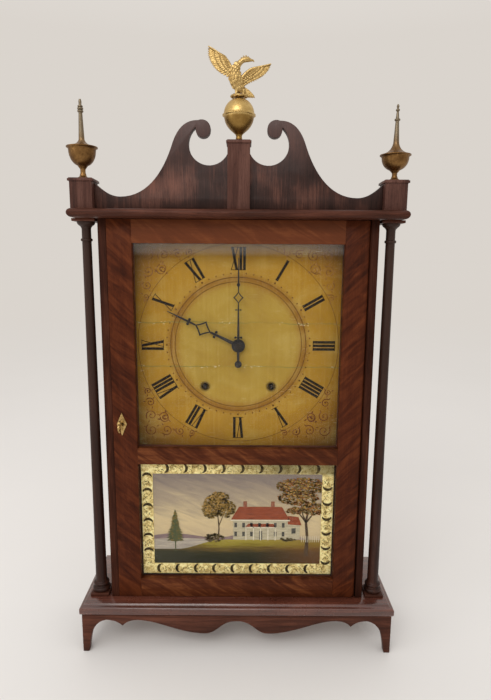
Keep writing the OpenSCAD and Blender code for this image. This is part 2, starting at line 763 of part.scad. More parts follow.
module pendulum_bob() color("#b39347") {
    difference() {
        along_y([0, bob_z], pendulum_y - 4) rotate_extrude() polygon([[0, 0], [18, 0], [23, 3.4], [23, 4.6], [18, 8], [0, 8]]);
        translate([0, pendulum_y, bob_z - 40]) cylinder(h = 80, r = 1);
    }
    translate([0, pendulum_y, bob_z - 30]) difference() {
        cylinder(h = 5, r = 4);
        translate([0, 0, -1]) cylinder(h = 7, r = 1);
    }
}

// Strike train

module strike_great_wheel() color("#b39347") {
    at = [-winding_x, winding_z];
    along_y(at, great_wheel_y - 2)
        crossed_wheel(strike_teeth, strike_m, 1.6, bearing(at, strike_wheel_at), 3 + fit);
}

module strike_wheel() color("#b39347") {
    arbor(strike_wheel_at, 2);
    along_y(strike_wheel_at, great_wheel_y - 3)
        toothed(leaves, strike_m, 4, bearing(strike_wheel_at, [-winding_x, winding_z]) + 180 / leaves, 1);
    along_y(strike_wheel_at, train_y + 9) crossed_wheel(60, 0.7, 1.6, 0, 1.5);
    for (a = [0:45:315])
        along_y(strike_wheel_at, train_y + 6.5) rotate([0, 0, a]) translate([17.2, 0, 0]) cylinder(h = 3, r = 0.8);
}

// Hammer on its arbor, leaning in to rest just clear of the bell
module hammer() color("#6f6a60") {
    reach = [bell_at[0] - bell_r - 5.5, bell_at[1] - 11];
    lean = atan2(reach[0] - hammer_at[0], reach[1] - hammer_at[1]);
    length = norm(reach - hammer_at);
    arbor(hammer_at, 1.8);
    translate([hammer_at[0], cord_y, hammer_at[1]]) rotate([0, lean, 0]) {
        cylinder(h = length, r = 1.2);
        translate([0, 0, length]) rotate([0, 90, 0]) translate([0, 0, -5]) cylinder(h = 9, r = 4);
    }
}

module bell() color("#a08a55") translate([bell_at[0], cord_y, bell_at[1]]) rotate_extrude() polygon(
    concat([[2.4, 0], [6, 0]], bezier([6, 0], [18, -1], [20, -12], [bell_r, -17], 8), [[bell_r - 1.5, -17.5]],
        bezier([bell_r - 1.5, -17.5], [18, -13], [16, -3], [6, -2], 8), [[2.4, -2]]));

module bell_post() color("#6f6a60") translate([bell_at[0], cord_y, 0]) {
    translate([0, 0, bell_at[1] - 8]) cylinder(h = case_top - bell_at[1] + 8, r = 2);
    translate([0, 0, bell_at[1]]) difference() {
        cylinder(h = 3, r = 5);
        translate([0, 0, -1]) cylinder(h = 5, r = 1.9);
    }
    translate([0, 0, bell_at[1] - 6]) cylinder(h = 4, r = 5);
}

// Weights, cords and pulleys

module weight(x) {
    low = [x - weight_size[0] / 2, cord_y - weight_size[1] / 2 + 4, weight_z0];
    block(low, low + weight_size);
    translate([x, cord_y, weight_z0 + weight_size[2]]) {
        cylinder(h = 6, r = 1.5);
        translate([0, 1, 8]) rotate([90, 0, 0]) rotate_extrude() translate([3.4, 0]) circle(r = 1, $fn = 16);
    }
}

module weight_time() color("#3a3836") weight(weight_x);
module weight_strike() color("#3a3836") weight(-weight_x);

// Tube round a route that lies in the plane y = cord_y; route points are [x, z]
module swept_tube(route, r, sides = 8) {
    last = len(route) - 1;
    rings = [for (i = [0:last]) let (
        way = route[min(i + 1, last)] - route[max(i - 1, 0)], n = [-way[1], way[0]] / norm(way))
        for (k = [0:sides - 1]) let (a = 360 * k / sides)
            [route[i][0] + r * cos(a) * n[0], cord_y + r * sin(a), route[i][1] + r * cos(a) * n[1]]];
    polyhedron(rings, concat([[for (k = [0:sides - 1]) k]], [[for (k = [sides - 1:-1:0]) last * sides + k]],
        [for (i = [0:last - 1], k = [0:sides - 1]) let (a = i * sides, k1 = (k + 1) % sides)
            [a + k, a + sides + k, a + sides + k1, a + k1]]));
}

// Cord from its turn on the drum up to the pulley, over it and down to the weight's ring
module cord() {
    from = [winding_x, winding_z];
    gap = pulley_at - from;
    slant = atan2(gap[1], gap[0]) - acos((drum_r + pulley_r) / norm(gap));
    hook_z = weight_z0 + weight_size[2] + 12.7;
    swept_tube(concat(arc(from, drum_r, slant - 270, slant, 14), arc(pulley_at, pulley_r, slant + 180, 0, 10),
        [[weight_x, hook_z]]), cord_r);
}

module cord_time() color("#a89a7a") cord();
module cord_strike() color("#a89a7a") mirror([1, 0, 0]) cord();

module pulley() {
    along_y(pulley_at, cord_y - 3) difference() {
        rotate_extrude() polygon([[0, 0], [pulley_r + 2.5, 0], [pulley_r + 2.5, 1], [pulley_r - 1.4, 2],
            [pulley_r - 1.4, 4], [pulley_r + 2.5, 5], [pulley_r + 2.5, 6], [0, 6]]);
        translate([0, 0, -1]) cylinder(h = 8, r = 1.5 + fit);
    }
}

module pulley_l() color("#9a7b55") mirror([1, 0, 0]) pulley();
module pulley_r() color("#9a7b55") pulley();

module pulley_forks() color("#6f6a60") left_and_right() {
    for (y = [cord_y - 5.5, cord_y + 4])
        block([pulley_at[0] - 4, y, pulley_at[1] - 4], [pulley_at[0] + 4, y + 1.5, case_top]);
    rod_y(pulley_at, cord_y - 4, cord_y + 4, 1.5);
}

base_board();
front_apron();
side_aprons();
case_side_l();
case_side_r();
backboard();
cornice_board();
scroll_board();
side_plinths();
centre_plinth();
column_l();
column_r();
column_blocks();
finial_l();
finial_r();
ball_finial();
eagle();
door_stile_l();
door_stile_r();
door_rails();
dial_glass();
tablet_glass();
glazing_beads();
hinge_bushes();
hinge_pins();
escutcheon();
lock_case();
lock_bolt();
key();
dial();
dial_cleats();
minute_hand();
hour_hand();
centre_arbor();
hour_pipe();
minute_wheel();
front_plate();
back_plate();
plate_pillars();
time_drum();
time_great_wheel();
third_wheel();
escape_wheel();
verge();
suspension_cock();
pendulum_rod();
pendulum_bob();
strike_drum();
strike_great_wheel();
strike_wheel();
hammer();
bell();
bell_post();
weight_time();
weight_strike();
cord_time();
cord_strike();
pulley_l();
pulley_r();
pulley_forks();
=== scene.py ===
"""Looks of a pillar-and-scroll shelf clock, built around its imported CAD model. Lengths are in metres."""

import json
import math
import random

import bmesh
import bpy
from mathutils import Matrix, Vector


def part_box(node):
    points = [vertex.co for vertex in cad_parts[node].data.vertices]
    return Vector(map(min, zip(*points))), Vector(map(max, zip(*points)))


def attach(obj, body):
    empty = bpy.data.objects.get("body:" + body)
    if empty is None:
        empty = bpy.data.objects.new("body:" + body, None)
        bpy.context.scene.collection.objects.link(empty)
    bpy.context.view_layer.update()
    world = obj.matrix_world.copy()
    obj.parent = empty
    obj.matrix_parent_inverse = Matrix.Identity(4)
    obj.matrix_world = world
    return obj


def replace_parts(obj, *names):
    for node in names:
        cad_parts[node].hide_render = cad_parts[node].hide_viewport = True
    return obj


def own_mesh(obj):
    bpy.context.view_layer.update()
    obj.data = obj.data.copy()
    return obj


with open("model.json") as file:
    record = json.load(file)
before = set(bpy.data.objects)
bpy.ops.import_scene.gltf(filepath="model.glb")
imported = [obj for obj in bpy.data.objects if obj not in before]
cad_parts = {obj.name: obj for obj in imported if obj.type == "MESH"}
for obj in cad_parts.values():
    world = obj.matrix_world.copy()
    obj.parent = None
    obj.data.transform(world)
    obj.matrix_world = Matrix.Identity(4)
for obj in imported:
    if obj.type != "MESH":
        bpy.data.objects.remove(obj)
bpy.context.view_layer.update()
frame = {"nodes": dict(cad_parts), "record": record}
MM = 0.001
BODY_OF = {n: body for body, nodes in frame["record"]["behaviour"]["bodies"].items() for n in nodes}


# ---- places taken from the frame

def middle(node):
    low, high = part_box(node)
    return (low + high) / 2


DIAL_LOW, DIAL_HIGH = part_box("dial")
DIAL_Z = middle("dial").z
DIAL_FRONT = DIAL_LOW.y
WINDING = middle("time_drum")
PERCH = Vector((0, middle("ball_finial").y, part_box("ball_finial")[1].z))
GLASS_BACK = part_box("tablet_glass")[1].y
CREST_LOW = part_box("centre_plinth")[1].z - 40 * MM
SPIRE_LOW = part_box("side_plinths")[1].z + 38 * MM
OPENING_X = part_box("door_stile_r")[0].x
TABLET_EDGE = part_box("tablet_glass")[1].x - OPENING_X
TABLET_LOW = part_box("tablet_glass")[0].z + TABLET_EDGE
TABLET_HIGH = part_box("tablet_glass")[1].z - TABLET_EDGE
PANE_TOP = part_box("dial_glass")[1].z - TABLET_EDGE


# ---- shaders

def tone(colour):
    """Linear RGBA of a 0-255 screen colour."""
    return (*(((c / 255 + 0.055) / 1.055) ** 2.4 for c in colour), 1)


def shade(colour, light):
    """A screen colour with its light scaled."""
    return tuple(((c / 255 + 0.055) * light ** (1 / 2.4) - 0.055) * 255 for c in colour)


class Shader:
    """A material being built from 0-255 screen colours. Each method adds nodes and returns an output."""

    def __init__(self, name, **constants):
        self.material = bpy.data.materials.new(name)
        self.material.use_nodes = True
        self.tree = self.material.node_tree
        self.surface = self.tree.nodes["Principled BSDF"]
        self.finish(**constants)

    def feed(self, socket, value):
        if isinstance(value, bpy.types.NodeSocket):
            self.tree.links.new(value, socket)
        else:
            socket.default_value = tone(value) if socket.type == "RGBA" else value

    def node(self, kind, inputs, **settings):
        node = self.tree.nodes.new("ShaderNode" + kind)
        for key, value in settings.items():
            setattr(node, key, value)
        for key, value in inputs.items():
            self.feed(node.inputs[key], value)
        return node

    def place(self, size, turn=(0, 0, 0), origin=(0, 0, 0)):
        """Object coordinates counted from origin, turned, in units of size."""
        row = self.node("TexCoord", {}).outputs["Object"]
        size = size if isinstance(size, (tuple, list)) else (size,) * 3
        inputs = {"Vector": row, "Location": origin, "Rotation": turn, "Scale": size}
        return self.node("Mapping", inputs, vector_type="TEXTURE").outputs[0]

    def axis(self, letter, origin=(0, 0, 0), size=1.0):
        return self.node("SeparateXYZ", {"Vector": self.place(size, origin=origin)}).outputs[letter]

    def distance(self, size, origin=(0, 0, 0)):
        place = self.place(size, origin=origin)
        return self.node("VectorMath", {0: place}, operation="LENGTH").outputs["Value"]

    def height(self, low, high):
        """0 at z = low and 1 at z = high."""
        return self.span(self.axis("Z"), low, high)

    def noise(self, vector, detail=4.0, rough=0.55, warp=0.0):
        inputs = {"Vector": vector, "Scale": 1.0, "Detail": detail, "Roughness": rough, "Distortion": warp}
        return self.node("TexNoise", inputs).outputs["Fac"]

    def ramp(self, factor, *stops):
        """Colours along a factor; each stop is (place, colour)."""
        node = self.node("ValToRGB", {"Fac": factor})
        elements = node.color_ramp.elements
        elements.remove(elements[1])
        elements[0].position = stops[0][0]
        elements[0].color = tone(stops[0][1])
        for place, colour in stops[1:]:
            elements.new(place).color = tone(colour)
        return node.outputs["Color"]

    def span(self, factor, low, high, to_low=0.0, to_high=1.0):
        """The factor's stretch from low to high carried to to_low and to_high, and held there beyond it."""
        inputs = {"Value": factor, "From Min": low, "From Max": high, "To Min": to_low, "To Max": to_high}
        return self.node("MapRange", inputs).outputs["Result"]

    def maths(self, operation, a, b=0.0):
        return self.node("Math", {0: a, 1: b}, operation=operation).outputs[0]

    def times(self, a, b):
        return self.maths("MULTIPLY", a, b)

    def plus(self, a, b):
        return self.maths("ADD", a, b)

    def weigh(self, *parts):
        """Sum of values, each given with its weight."""
        total = 0.0
        for value, weight in parts:
            total = self.plus(total, self.times(value, weight))
        return total

    def mix(self, factor, a, b, blend="MIX"):
        return self.node("Mix", {0: factor, 6: a, 7: b}, data_type="RGBA", blend_type=blend).outputs[2]

    def tint(self, base, colour, pattern, start, full, share):
        """Base with colour over it: nothing where the pattern is at start, share where it is full."""
        return self.mix(self.span(pattern, start, full, 0.0, share), base, colour)

    def bump(self, height, distance, strength=0.5):
        inputs = {"Height": height, "Distance": distance, "Strength": strength}
        return self.node("Bump", inputs).outputs["Normal"]

    def finish(self, **inputs):
        for key, value in inputs.items():
            self.feed(self.surface.inputs[key.replace("_", " ")], value)
        return self.material


def wood(name, along, dark, mid, light, flame=0.0, lean=0.0, coat=0.03, rough=0.42, paler_where=None, sheen=0.10,
         cloudy=0.2, paler_tone=(84, 66, 60)):
    """Polished wood whose grain runs along axis 0, 1 or 2, with an optional flame figure that leans. Where
    the optional mask is high, its colour goes halfway to a paler tone: painted light on the top rail and the
    crest."""
    s = Shader(name, Coat_Weight=coat, Coat_Roughness=0.16, Specular_IOR_Level=sheen)

    def stretched(length, width):
        size = [width] * 3
        size[along] = length
        return s.place(size)

    figure = s.noise(stretched(0.20, 0.014), 6.0, 0.62, 0.9)
    fibres = s.noise(stretched(0.035, 0.0011), 3.0, 0.6)
    blotch = s.noise(s.place(0.055), 3.0, 0.5)
    grain = s.weigh((figure, 0.76 - cloudy), (fibres, 0.24), (blotch, cloudy))
    if flame:
        curl = s.noise(s.place((0.060, 0.060, 0.0105), (0, lean, 0)), 4.0, 0.55, 1.2)
        grain = s.weigh((grain, 1 - flame), (curl, flame))
    colour = s.ramp(grain, (0.34, dark), (0.50, mid), (0.66, light))
    pores = s.span(s.noise(stretched(0.0065, 0.00042), 2.0), 0.30, 0.42)
    colour = s.mix(s.span(pores, 0.0, 1.0, 0.55, 0.0), colour, shade(dark, 0.35))
    if paler_where:
        colour = s.mix(paler_where(s), colour, s.mix(0.5, mid, paler_tone))
    wear = s.span(s.noise(s.place(0.02), 5.0, 0.65), 0.35, 0.7, rough - 0.07, rough + 0.12)
    height = s.weigh((pores, 0.5), (fibres, 0.5))
    return s.finish(Base_Color=colour, Roughness=wear, Normal=s.bump(height, 0.12 * MM))


def brass(name, dark, bright, rough=0.32, size=0.006, turned=False, lower=None, grey_top=False, tipped=False):
    """Brass with tarnish between dark and bright. Options: turned for fine lathe rings, lower for a darker
    part below a height, grey_top for greyer spires, tipped for dark iron in front of the dial."""
    s = Shader(name, Metallic=1.0)
    tarnish = s.noise(s.place(size), 6.0, 0.65, 0.4)
    spots = s.noise(s.place(size * 0.25), 4.0, 0.7)
    mixed = s.weigh((tarnish, 0.65), (spots, 0.35))
    colour = s.ramp(mixed, (0.34, dark), (0.66, bright))
    if lower:
        below = s.maths("SUBTRACT", 1.0, s.height(lower - 2 * MM, lower))
        colour = s.mix(below, colour, (188, 175, 153), "MULTIPLY")
    if grey_top:
        colour = s.mix(s.times(s.height(SPIRE_LOW, SPIRE_LOW + 20 * MM), 0.75), colour, (128, 120, 104))
    if tipped:
        depth = s.axis("Y", (0, DIAL_FRONT, 0))
        colour = s.mix(s.span(depth, 3.5 * MM, 4 * MM, 1.0, 0.0), colour, (62, 56, 50))
    marks = s.noise(s.place((0.05, 0.05, 0.00035) if turned else size * 0.12), 3.0, 0.7)
    gloss = s.span(mixed, 0.3, 0.7, rough + 0.14, rough - 0.04)
    return s.finish(Base_Color=colour, Roughness=gloss, Normal=s.bump(marks, 0.06 * MM, 0.45))


def paint(name, dark, mid, light, size=0.006, stretch=(1, 1, 1)):
    """Brushed paint in three tones."""
    s = Shader(name, Specular_IOR_Level=0.12)
    strokes = s.noise(s.place([size * k for k in stretch]), 5.0, 0.6, 0.5)
    fine = s.noise(s.place([size * 0.16 * k for k in stretch]), 3.0, 0.6)
    mixed = s.weigh((strokes, 0.7), (fine, 0.3))
    colour = s.ramp(mixed, (0.34, dark), (0.50, mid), (0.66, light))
    gloss = s.span(fine, 0.3, 0.7, 0.4, 0.6)
    return s.finish(Base_Color=colour, Roughness=gloss, Normal=s.bump(mixed, 0.04 * MM))


def iron(name, base, rough, metal=0.7, pit=0.002):
    """Dark or bare iron and steel with pits and worn places."""
    s = Shader(name, Metallic=metal)
    worn = s.noise(s.place(pit * 4), 5.0, 0.6)
    pits = s.noise(s.place(pit), 4.0, 0.65)
    colour = s.ramp(worn, (0.35, shade(base, 0.6)), (0.55, base), (0.72, shade(base, 1.7)))
    gloss = s.span(worn, 0.3, 0.7, rough + 0.12, rough - 0.08)
    return s.finish(Base_Color=colour, Roughness=gloss, Normal=s.bump(pits, pit * 0.05, 0.6))


def cracked(s, base, clouds):
    """Draws two long level cracks; returns the colour, and where flakes of paint are lost beside them."""
    wander = s.noise(s.place((0.055, 1, 0.4)), 4.0, 0.6)
    grit = s.noise(s.place((0.007, 1, 0.0022)), 5.0, 0.7)
    patches = s.noise(s.place((0.028, 1, 0.02)), 3.0, 0.6)
    up = s.axis("Z", (0, 0, DIAL_Z))
    chips = 0.0
    for level, swing in ((31 * MM, 16 * MM), (-30 * MM, 10 * MM)):
        line = s.plus(level - swing / 2, s.times(wander, swing))
        off = s.maths("ABSOLUTE", s.maths("SUBTRACT", up, line))
        crack = s.times(s.span(off, 0.3 * MM, 1.0 * MM, 1.0, 0.0), s.span(clouds, 0.36, 0.52, 0.25, 1.0))
        base = s.mix(s.times(crack, 0.75), base, (124, 122, 62))
        near = s.times(s.span(off, 0.0, 4.6 * MM, 1.0, 0.0), s.span(grit, 0.54, 0.62))
        chips = s.maths("MAXIMUM", chips, s.times(near, s.span(patches, 0.44, 0.56)))
    return s.tint(base, (222, 212, 172), chips, 0.35, 0.55, 0.85), chips


def aged_dial():
    """Mustard paint on vertical boards, paler inside the chapter ring and brown at the corners, with painted
    shade along its top, cracks, worn spots and a dark edge round each winding hole."""
    s = Shader("dial_paint", Coat_Weight=0.02, Coat_Roughness=0.3, Specular_IOR_Level=0.1)
    half = (DIAL_HIGH.x - DIAL_LOW.x) / 2
    radius = s.distance((half, 1e3, half), (0, 0, DIAL_Z))
    base = s.ramp(s.times(radius, 0.7),
                  (0.0, (170, 142, 58)), (0.36, (170, 140, 56)), (0.395, (154, 116, 40)),
                  (0.42, (140, 97, 30)), (0.46, (172, 133, 44)), (0.60, (172, 130, 36)),
                  (0.70, (162, 117, 32)), (0.80, (140, 98, 32)), (0.95, (116, 78, 32)))
    clouds = s.noise(s.place((0.05, 1, 0.035)), 5.0, 0.6, 0.6)
    boards = s.noise(s.place((0.0035, 1, 0.16)), 4.0, 0.6)
    base = s.tint(base, (196, 172, 96), clouds, 0.50, 0.75, 0.40)
    base = s.tint(base, (138, 98, 34), clouds, 0.48, 0.25, 0.40)
    base = s.tint(base, (150, 112, 44), boards, 0.50, 0.72, 0.30)
    base = s.tint(base, (206, 180, 104), boards, 0.46, 0.28, 0.20)
    # Painted shade: a darker grey band along the top of the dial, under the door's top rail.
    base = s.mix(s.times(s.height(DIAL_Z + 120.4 * MM, DIAL_Z + 140 * MM), 0.4), base, (120, 100, 62))
    base, chips = cracked(s, base, clouds)
    sparks = s.noise(s.place((0.010, 1, 0.0016)), 5.0, 0.7)
    base = s.tint(base, (220, 206, 156), sparks, 0.665, 0.70, 0.7)
    smears = s.times(s.span(s.noise(s.place((0.016, 1, 0.0011)), 4.0, 0.6), 0.60, 0.68),
                     s.span(s.noise(s.place((0.05, 1, 0.03)), 2.0), 0.50, 0.62))
    base = s.mix(s.times(smears, 0.55), base, (212, 200, 146))
    for side in (-1, 1):
        reach = s.distance((1, 1e3, 1), (side * WINDING.x, 0, WINDING.z))
        base = s.mix(s.span(reach, 5.5 * MM, 8.5 * MM, 0.8, 0.0), base, (70, 56, 30))
    return s.finish(Base_Color=base, Roughness=s.span(boards, 0.3, 0.7, 0.45, 0.62),
                    Normal=s.bump(s.maths("SUBTRACT", boards, chips), 0.18 * MM))


def window_glass():
    """Thin old glass: almost clear from the front, more reflective at a slant, with a little dust and a
    painted reflection, a pale haze, along the top of the dial's pane."""
    s = Shader("window_glass", Base_Color=(239, 241, 241), Roughness=0.04, IOR=1.5)
    gloss = s.node("Fresnel", {"IOR": 1.45}).outputs["Fac"]
    dust = s.span(s.noise(s.place((0.05, 1, 0.02)), 5.0, 0.6), 0.45, 0.8, 0.0, 0.006)
    # The height term is a painted reflection: a pale haze along the top of the dial's pane.
    alpha = s.weigh((gloss, 0.16), (dust, 1.0), (s.height(PANE_TOP - 16 * MM, PANE_TOP), 0.10))
    waves = s.noise(s.place((0.06, 1, 0.03)), 2.0)
    return s.finish(Alpha=alpha, Normal=s.bump(waves, 0.4 * MM, 0.25))


def old_sky():
    """Streaky evening sky, mauve grey at the top and cream lower down."""
    s = Shader("painted_sky", Specular_IOR_Level=0.12, Roughness=0.45)
    slope = (0, 0.35, 0)
    streaks = s.noise(s.place((0.060, 1, 0.011), slope), 6.0, 0.62, 0.8)
    up = s.weigh((s.height(TABLET_LOW, TABLET_HIGH), 1.0), (s.maths("SUBTRACT", streaks, 0.5), 0.55))
    colour = s.ramp(up, (0.20, (152, 132, 126)), (0.30, (192, 172, 138)), (0.48, (208, 188, 146)),
                    (0.66, (170, 154, 130)), (0.90, (132, 120, 112)))
    brush = s.noise(s.place((0.012, 1, 0.0012), slope), 3.0, 0.6)
    return s.finish(Base_Color=colour, Normal=s.bump(brush, 0.08 * MM, 0.6))


def old_lawn():
    """Lawn, lit in the middle, browner at the right and falling to a dark foreground."""
    s = Shader("painted_lawn", Specular_IOR_Level=0.12, Roughness=0.45)
    strokes = s.noise(s.place((0.035, 1, 0.0035)), 5.0, 0.62, 0.4)
    up = s.weigh((s.height(TABLET_LOW + 20 * MM, TABLET_LOW + 62 * MM), 1.0),
                 (s.maths("SUBTRACT", strokes, 0.5), 0.45))
    colour = s.ramp(up, (0.10, (34, 34, 16)), (0.34, (48, 46, 22)), (0.48, (96, 76, 30)),
                    (0.66, (142, 128, 44)), (0.88, (164, 150, 66)))
    side = s.axis("X", size=0.12)
    colour = s.tint(colour, (122, 78, 40), side, 0.2, 0.9, 0.5)
    colour = s.tint(colour, (62, 62, 46), side, -0.4, -0.95, 0.6)
    return s.finish(Base_Color=colour, Normal=s.bump(strokes, 0.08 * MM))


def gold_leaf():
    """Pale leaf laid on glass, rubbed and spotted, and darker along the right half of its top."""
    s = Shader("gold_leaf", Metallic=0.35)
    rub = s.noise(s.place(0.006), 6.0, 0.7, 0.6)
    spots = s.noise(s.place(0.0011), 3.0, 0.6)
    colour = s.ramp(rub, (0.36, (136, 110, 50)), (0.46, (222, 198, 124)), (0.58, (254, 242, 176)))
    patches = s.noise(s.place((0.05, 1, 0.05)), 2.0, 0.5)
    darker_top = s.times(s.span(s.axis("X"), -0.03, 0.03), s.height(TABLET_HIGH - 22 * MM, TABLET_HIGH - 16 * MM))
    colour = s.mix(s.times(darker_top, s.span(patches, 0.3, 0.6, 0.3, 0.75)), colour, (96, 84, 36))
    colour = s.tint(colour, (104, 90, 44), spots, 0.62, 0.70, 0.7)
    gloss = s.span(rub, 0.3, 0.7, 0.5, 0.34)
    return s.finish(Base_Color=colour, Roughness=gloss, Normal=s.bump(rub, 0.1 * MM))


def cord_fibre():
    s = Shader("linen", Roughness=0.85, Sheen_Weight=0.3)
    hair = s.noise(s.place(0.0006), 4.0, 0.7)
    colour = s.ramp(hair, (0.35, (122, 106, 78)), (0.65, (182, 168, 134)))
    return s.finish(Base_Color=colour, Normal=s.bump(hair, 0.1 * MM, 0.7))


def floor_card():
    """Pale card that fades far away into the tone of the horizon."""
    s = Shader("pale_floor", Roughness=0.8, Specular_IOR_Level=0.0, Emission_Color=HORIZON)
    card = s.ramp(s.noise(s.place(0.5), 3.0), (0.3, FLOOR), (0.7, shade(FLOOR, 1.02)))
    far = s.span(s.distance(1.0), 0.9, 4.5)
    return s.finish(Base_Color=s.mix(far, card, (0, 0, 0)), Emission_Strength=far)


HORIZON, FLOOR = (218, 212, 205), (229, 227, 225)
MAHOGANY = (38, 20, 14), (74, 41, 30), (112, 68, 52)
VENEER = (46, 20, 10), (74, 34, 17), (102, 52, 27)
PINE = (98, 66, 38), (142, 104, 64), (172, 134, 88)
WORKS_BRASS = (150, 118, 58), (212, 180, 106)

MAHOGANY_X = wood("mahogany_along_x", 0, *MAHOGANY)
MAHOGANY_Y = wood("mahogany_along_y", 1, *MAHOGANY)
SIDE_WOOD = wood("case_sides", 2, (28, 14, 10), (56, 29, 20), (88, 50, 36), coat=0.0, sheen=0.05, rough=0.5)
COLUMN_WOOD = wood("column_mahogany", 2, (24, 12, 8), (46, 24, 17), (72, 42, 31), sheen=0.2,
                   paler_where=lambda s: s.height(0.20, 0.60), paler_tone=(60, 44, 36))
BASE_WOOD = wood("base_mahogany", 0, (52, 26, 19), (88, 47, 35), (122, 72, 56), coat=0.7, sheen=0.5,
                 rough=0.30)
VENEER_Z = wood("veneer_stiles", 2, *VENEER, flame=0.62, lean=0.75, sheen=0.06)
VENEER_R = wood("veneer_right", 2, *VENEER, flame=0.62, lean=-0.75, sheen=0.06)
# Painted light: the top rail, above the dial's pane, is blended towards a lighter tone.
VENEER_X = wood("veneer_rails", 0, VENEER[0], (80, 39, 20), (124, 72, 40), flame=0.5, lean=0.55, sheen=0.06,
                paler_where=lambda s: s.times(s.height(PANE_TOP - 20 * MM, PANE_TOP), 0.4), paler_tone=(160, 96, 64))
# Painted sheen: the upper part of the crest is blended towards a pale grey, as reflected light.
CREST = wood("crest_mahogany", 2, (28, 17, 14), (56, 36, 31), (108, 70, 58), cloudy=0.5, rough=0.46,
             sheen=0.12, paler_where=lambda s: s.times(s.height(CREST_LOW, CREST_LOW + 60 * MM), 0.6),
             paler_tone=(126, 108, 106))
PLINTH_WOOD = wood("plinth_mahogany", 2, (46, 28, 24), (84, 54, 46), (112, 78, 68), rough=0.44, sheen=0.14)
PINE_X = wood("pine_along_x", 0, *PINE, coat=0.0, rough=0.62)
PINE_Z = wood("pine_along_z", 2, *PINE, coat=0.0, rough=0.62)
AGED_BRASS = brass("aged_brass", (90, 62, 34), (146, 110, 66), rough=0.38, size=0.010, turned=True,
                   grey_top=True)
BALL_BRASS = brass("ball_brass", (176, 144, 84), (214, 184, 122), rough=0.36, size=0.016, turned=True,
                   lower=middle("ball_finial").z + 4 * MM)
GILT = brass("gilt_brass", (132, 100, 50), (222, 192, 130), rough=0.34, size=0.0022)
MOVEMENT_BRASS = brass("movement_brass", *WORKS_BRASS, rough=0.30)
ARBOR_BRASS = brass("arbor_brass", *WORKS_BRASS, rough=0.34, tipped=True)
BELL_METAL = brass("bell_metal", (128, 104, 62), (190, 164, 108), rough=0.34)
STEEL = iron("steel", (162, 160, 155), 0.36, 1.0)
HAND_IRON = iron("hand_iron", (50, 47, 45), 0.45, 0.6)
CAST_IRON = iron("cast_iron", (66, 63, 61), 0.62, 0.5, pit=0.0016)
GLASS, LINEN = window_glass(), cord_fibre()

DIAL_PAINT = aged_dial()
BLACK_PAINT = paint("numeral_black", (20, 15, 9), (28, 21, 12), (66, 50, 24), size=0.003)
LINE_PAINT = paint("ring_brown", (84, 54, 18), (104, 70, 24), (136, 98, 40), size=0.004)
# The upper corners' scroll paint is a lighter copy of the lower one's: the extra lightness is a painted
# reflection haze.
SCROLL_HAZED = paint("scroll_brown", (96, 60, 24), (136, 92, 40), (188, 146, 76), size=0.010)
SCROLL_DARK = paint("scroll_dark", (88, 48, 22), (112, 64, 28), (150, 98, 44), size=0.010)

GOLD_LEAF, SKY, LAWN = gold_leaf(), old_sky(), old_lawn()
BORDER_DARK = paint("border_dark", (38, 30, 16), (62, 50, 26), (104, 88, 48), size=0.004)
BORDER_OLIVE = paint("border_olive", (78, 68, 32), (110, 96, 48), (150, 130, 70), size=0.003)
BACKING = paint("backing_black", (24, 20, 16), (34, 28, 22), (48, 40, 32))
HILLS = paint("far_hills", (118, 100, 102), (134, 114, 112), (152, 130, 122), stretch=(4, 1, 0.6))
LAKE = paint("lake", (140, 134, 126), (170, 160, 146), (196, 184, 162), stretch=(5, 1, 0.4))
LEAF_DARK = paint("leaf_shade", (76, 64, 36), (96, 82, 46), (116, 96, 52), size=0.004)
LEAF_OLIVE = paint("leaf_olive", (104, 90, 44), (130, 106, 50), (150, 120, 56), size=0.004)
LEAF_RUST = paint("leaf_rust", (124, 78, 38), (150, 96, 44), (174, 118, 58), size=0.004)
LEAF_LIT = paint("leaf_light", (150, 116, 54), (180, 142, 72), (200, 160, 90), size=0.004)
TRUNK = paint("trunk", (58, 44, 30), (78, 60, 42), (104, 84, 60), stretch=(0.4, 1, 2))
FIR = paint("fir_green", (58, 66, 44), (80, 86, 54), (108, 106, 64), size=0.004)
HOUSE_WALL = paint("house_wall", (150, 142, 120), (182, 172, 144), (200, 190, 160), stretch=(3, 1, 0.3))
HOUSE_ROOF = paint("house_roof", (112, 56, 36), (140, 70, 44), (158, 88, 56), stretch=(2, 1, 0.3))
HOUSE_TRIM = paint("house_trim", (196, 188, 162), (214, 206, 180), (226, 218, 194))
HOUSE_DARK = paint("house_windows", (60, 58, 54), (78, 76, 70), (104, 100, 90))
CHIMNEY = paint("chimney", (120, 72, 54), (140, 88, 66), (158, 106, 82), size=0.003)


# ---- meshes

def shown(name, bm, material, body, smooth=35.0, replaces=()):
    """Turns a bmesh into a piece of the clock that rides on a body."""
    mesh = bpy.data.meshes.new(name)
    bm.to_mesh(mesh)
    bm.free()
    mesh.materials.append(material)
    mesh.shade_smooth()
    mesh.set_sharp_from_angle(angle=math.radians(smooth))
    piece = bpy.data.objects.new(name, mesh)
    bpy.context.scene.collection.objects.link(piece)
    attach(piece, body)
    if replaces:
        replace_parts(piece, *replaces)
    return piece


def eased(node, material, ease):
    """A welded copy of a CAD node, its sharp edges rounded by ease, in place of the node."""
    bm = bmesh.new()
    bm.from_mesh(frame["nodes"][node].data)
    bmesh.ops.remove_doubles(bm, verts=bm.verts[:], dist=2e-6)
    bmesh.ops.dissolve_limit(bm, angle_limit=math.radians(0.4), verts=bm.verts[:], edges=bm.edges[:])
    sharp = [e for e in bm.edges if e.is_manifold and e.calc_face_angle(0.0) > math.radians(35)]
    if ease:
        bmesh.ops.bevel(bm, geom=sharp, offset=ease, segments=2, profile=0.5, affect="EDGES",
                        clamp_overlap=True)
    return shown(node + "_fine", bm, material, BODY_OF[node], replaces=[node])


def painted(node, material):
    """Gives its material to a CAD node that is shown unchanged."""
    mesh = frame["nodes"][node].data
    mesh.materials.clear()
    mesh.materials.append(material)


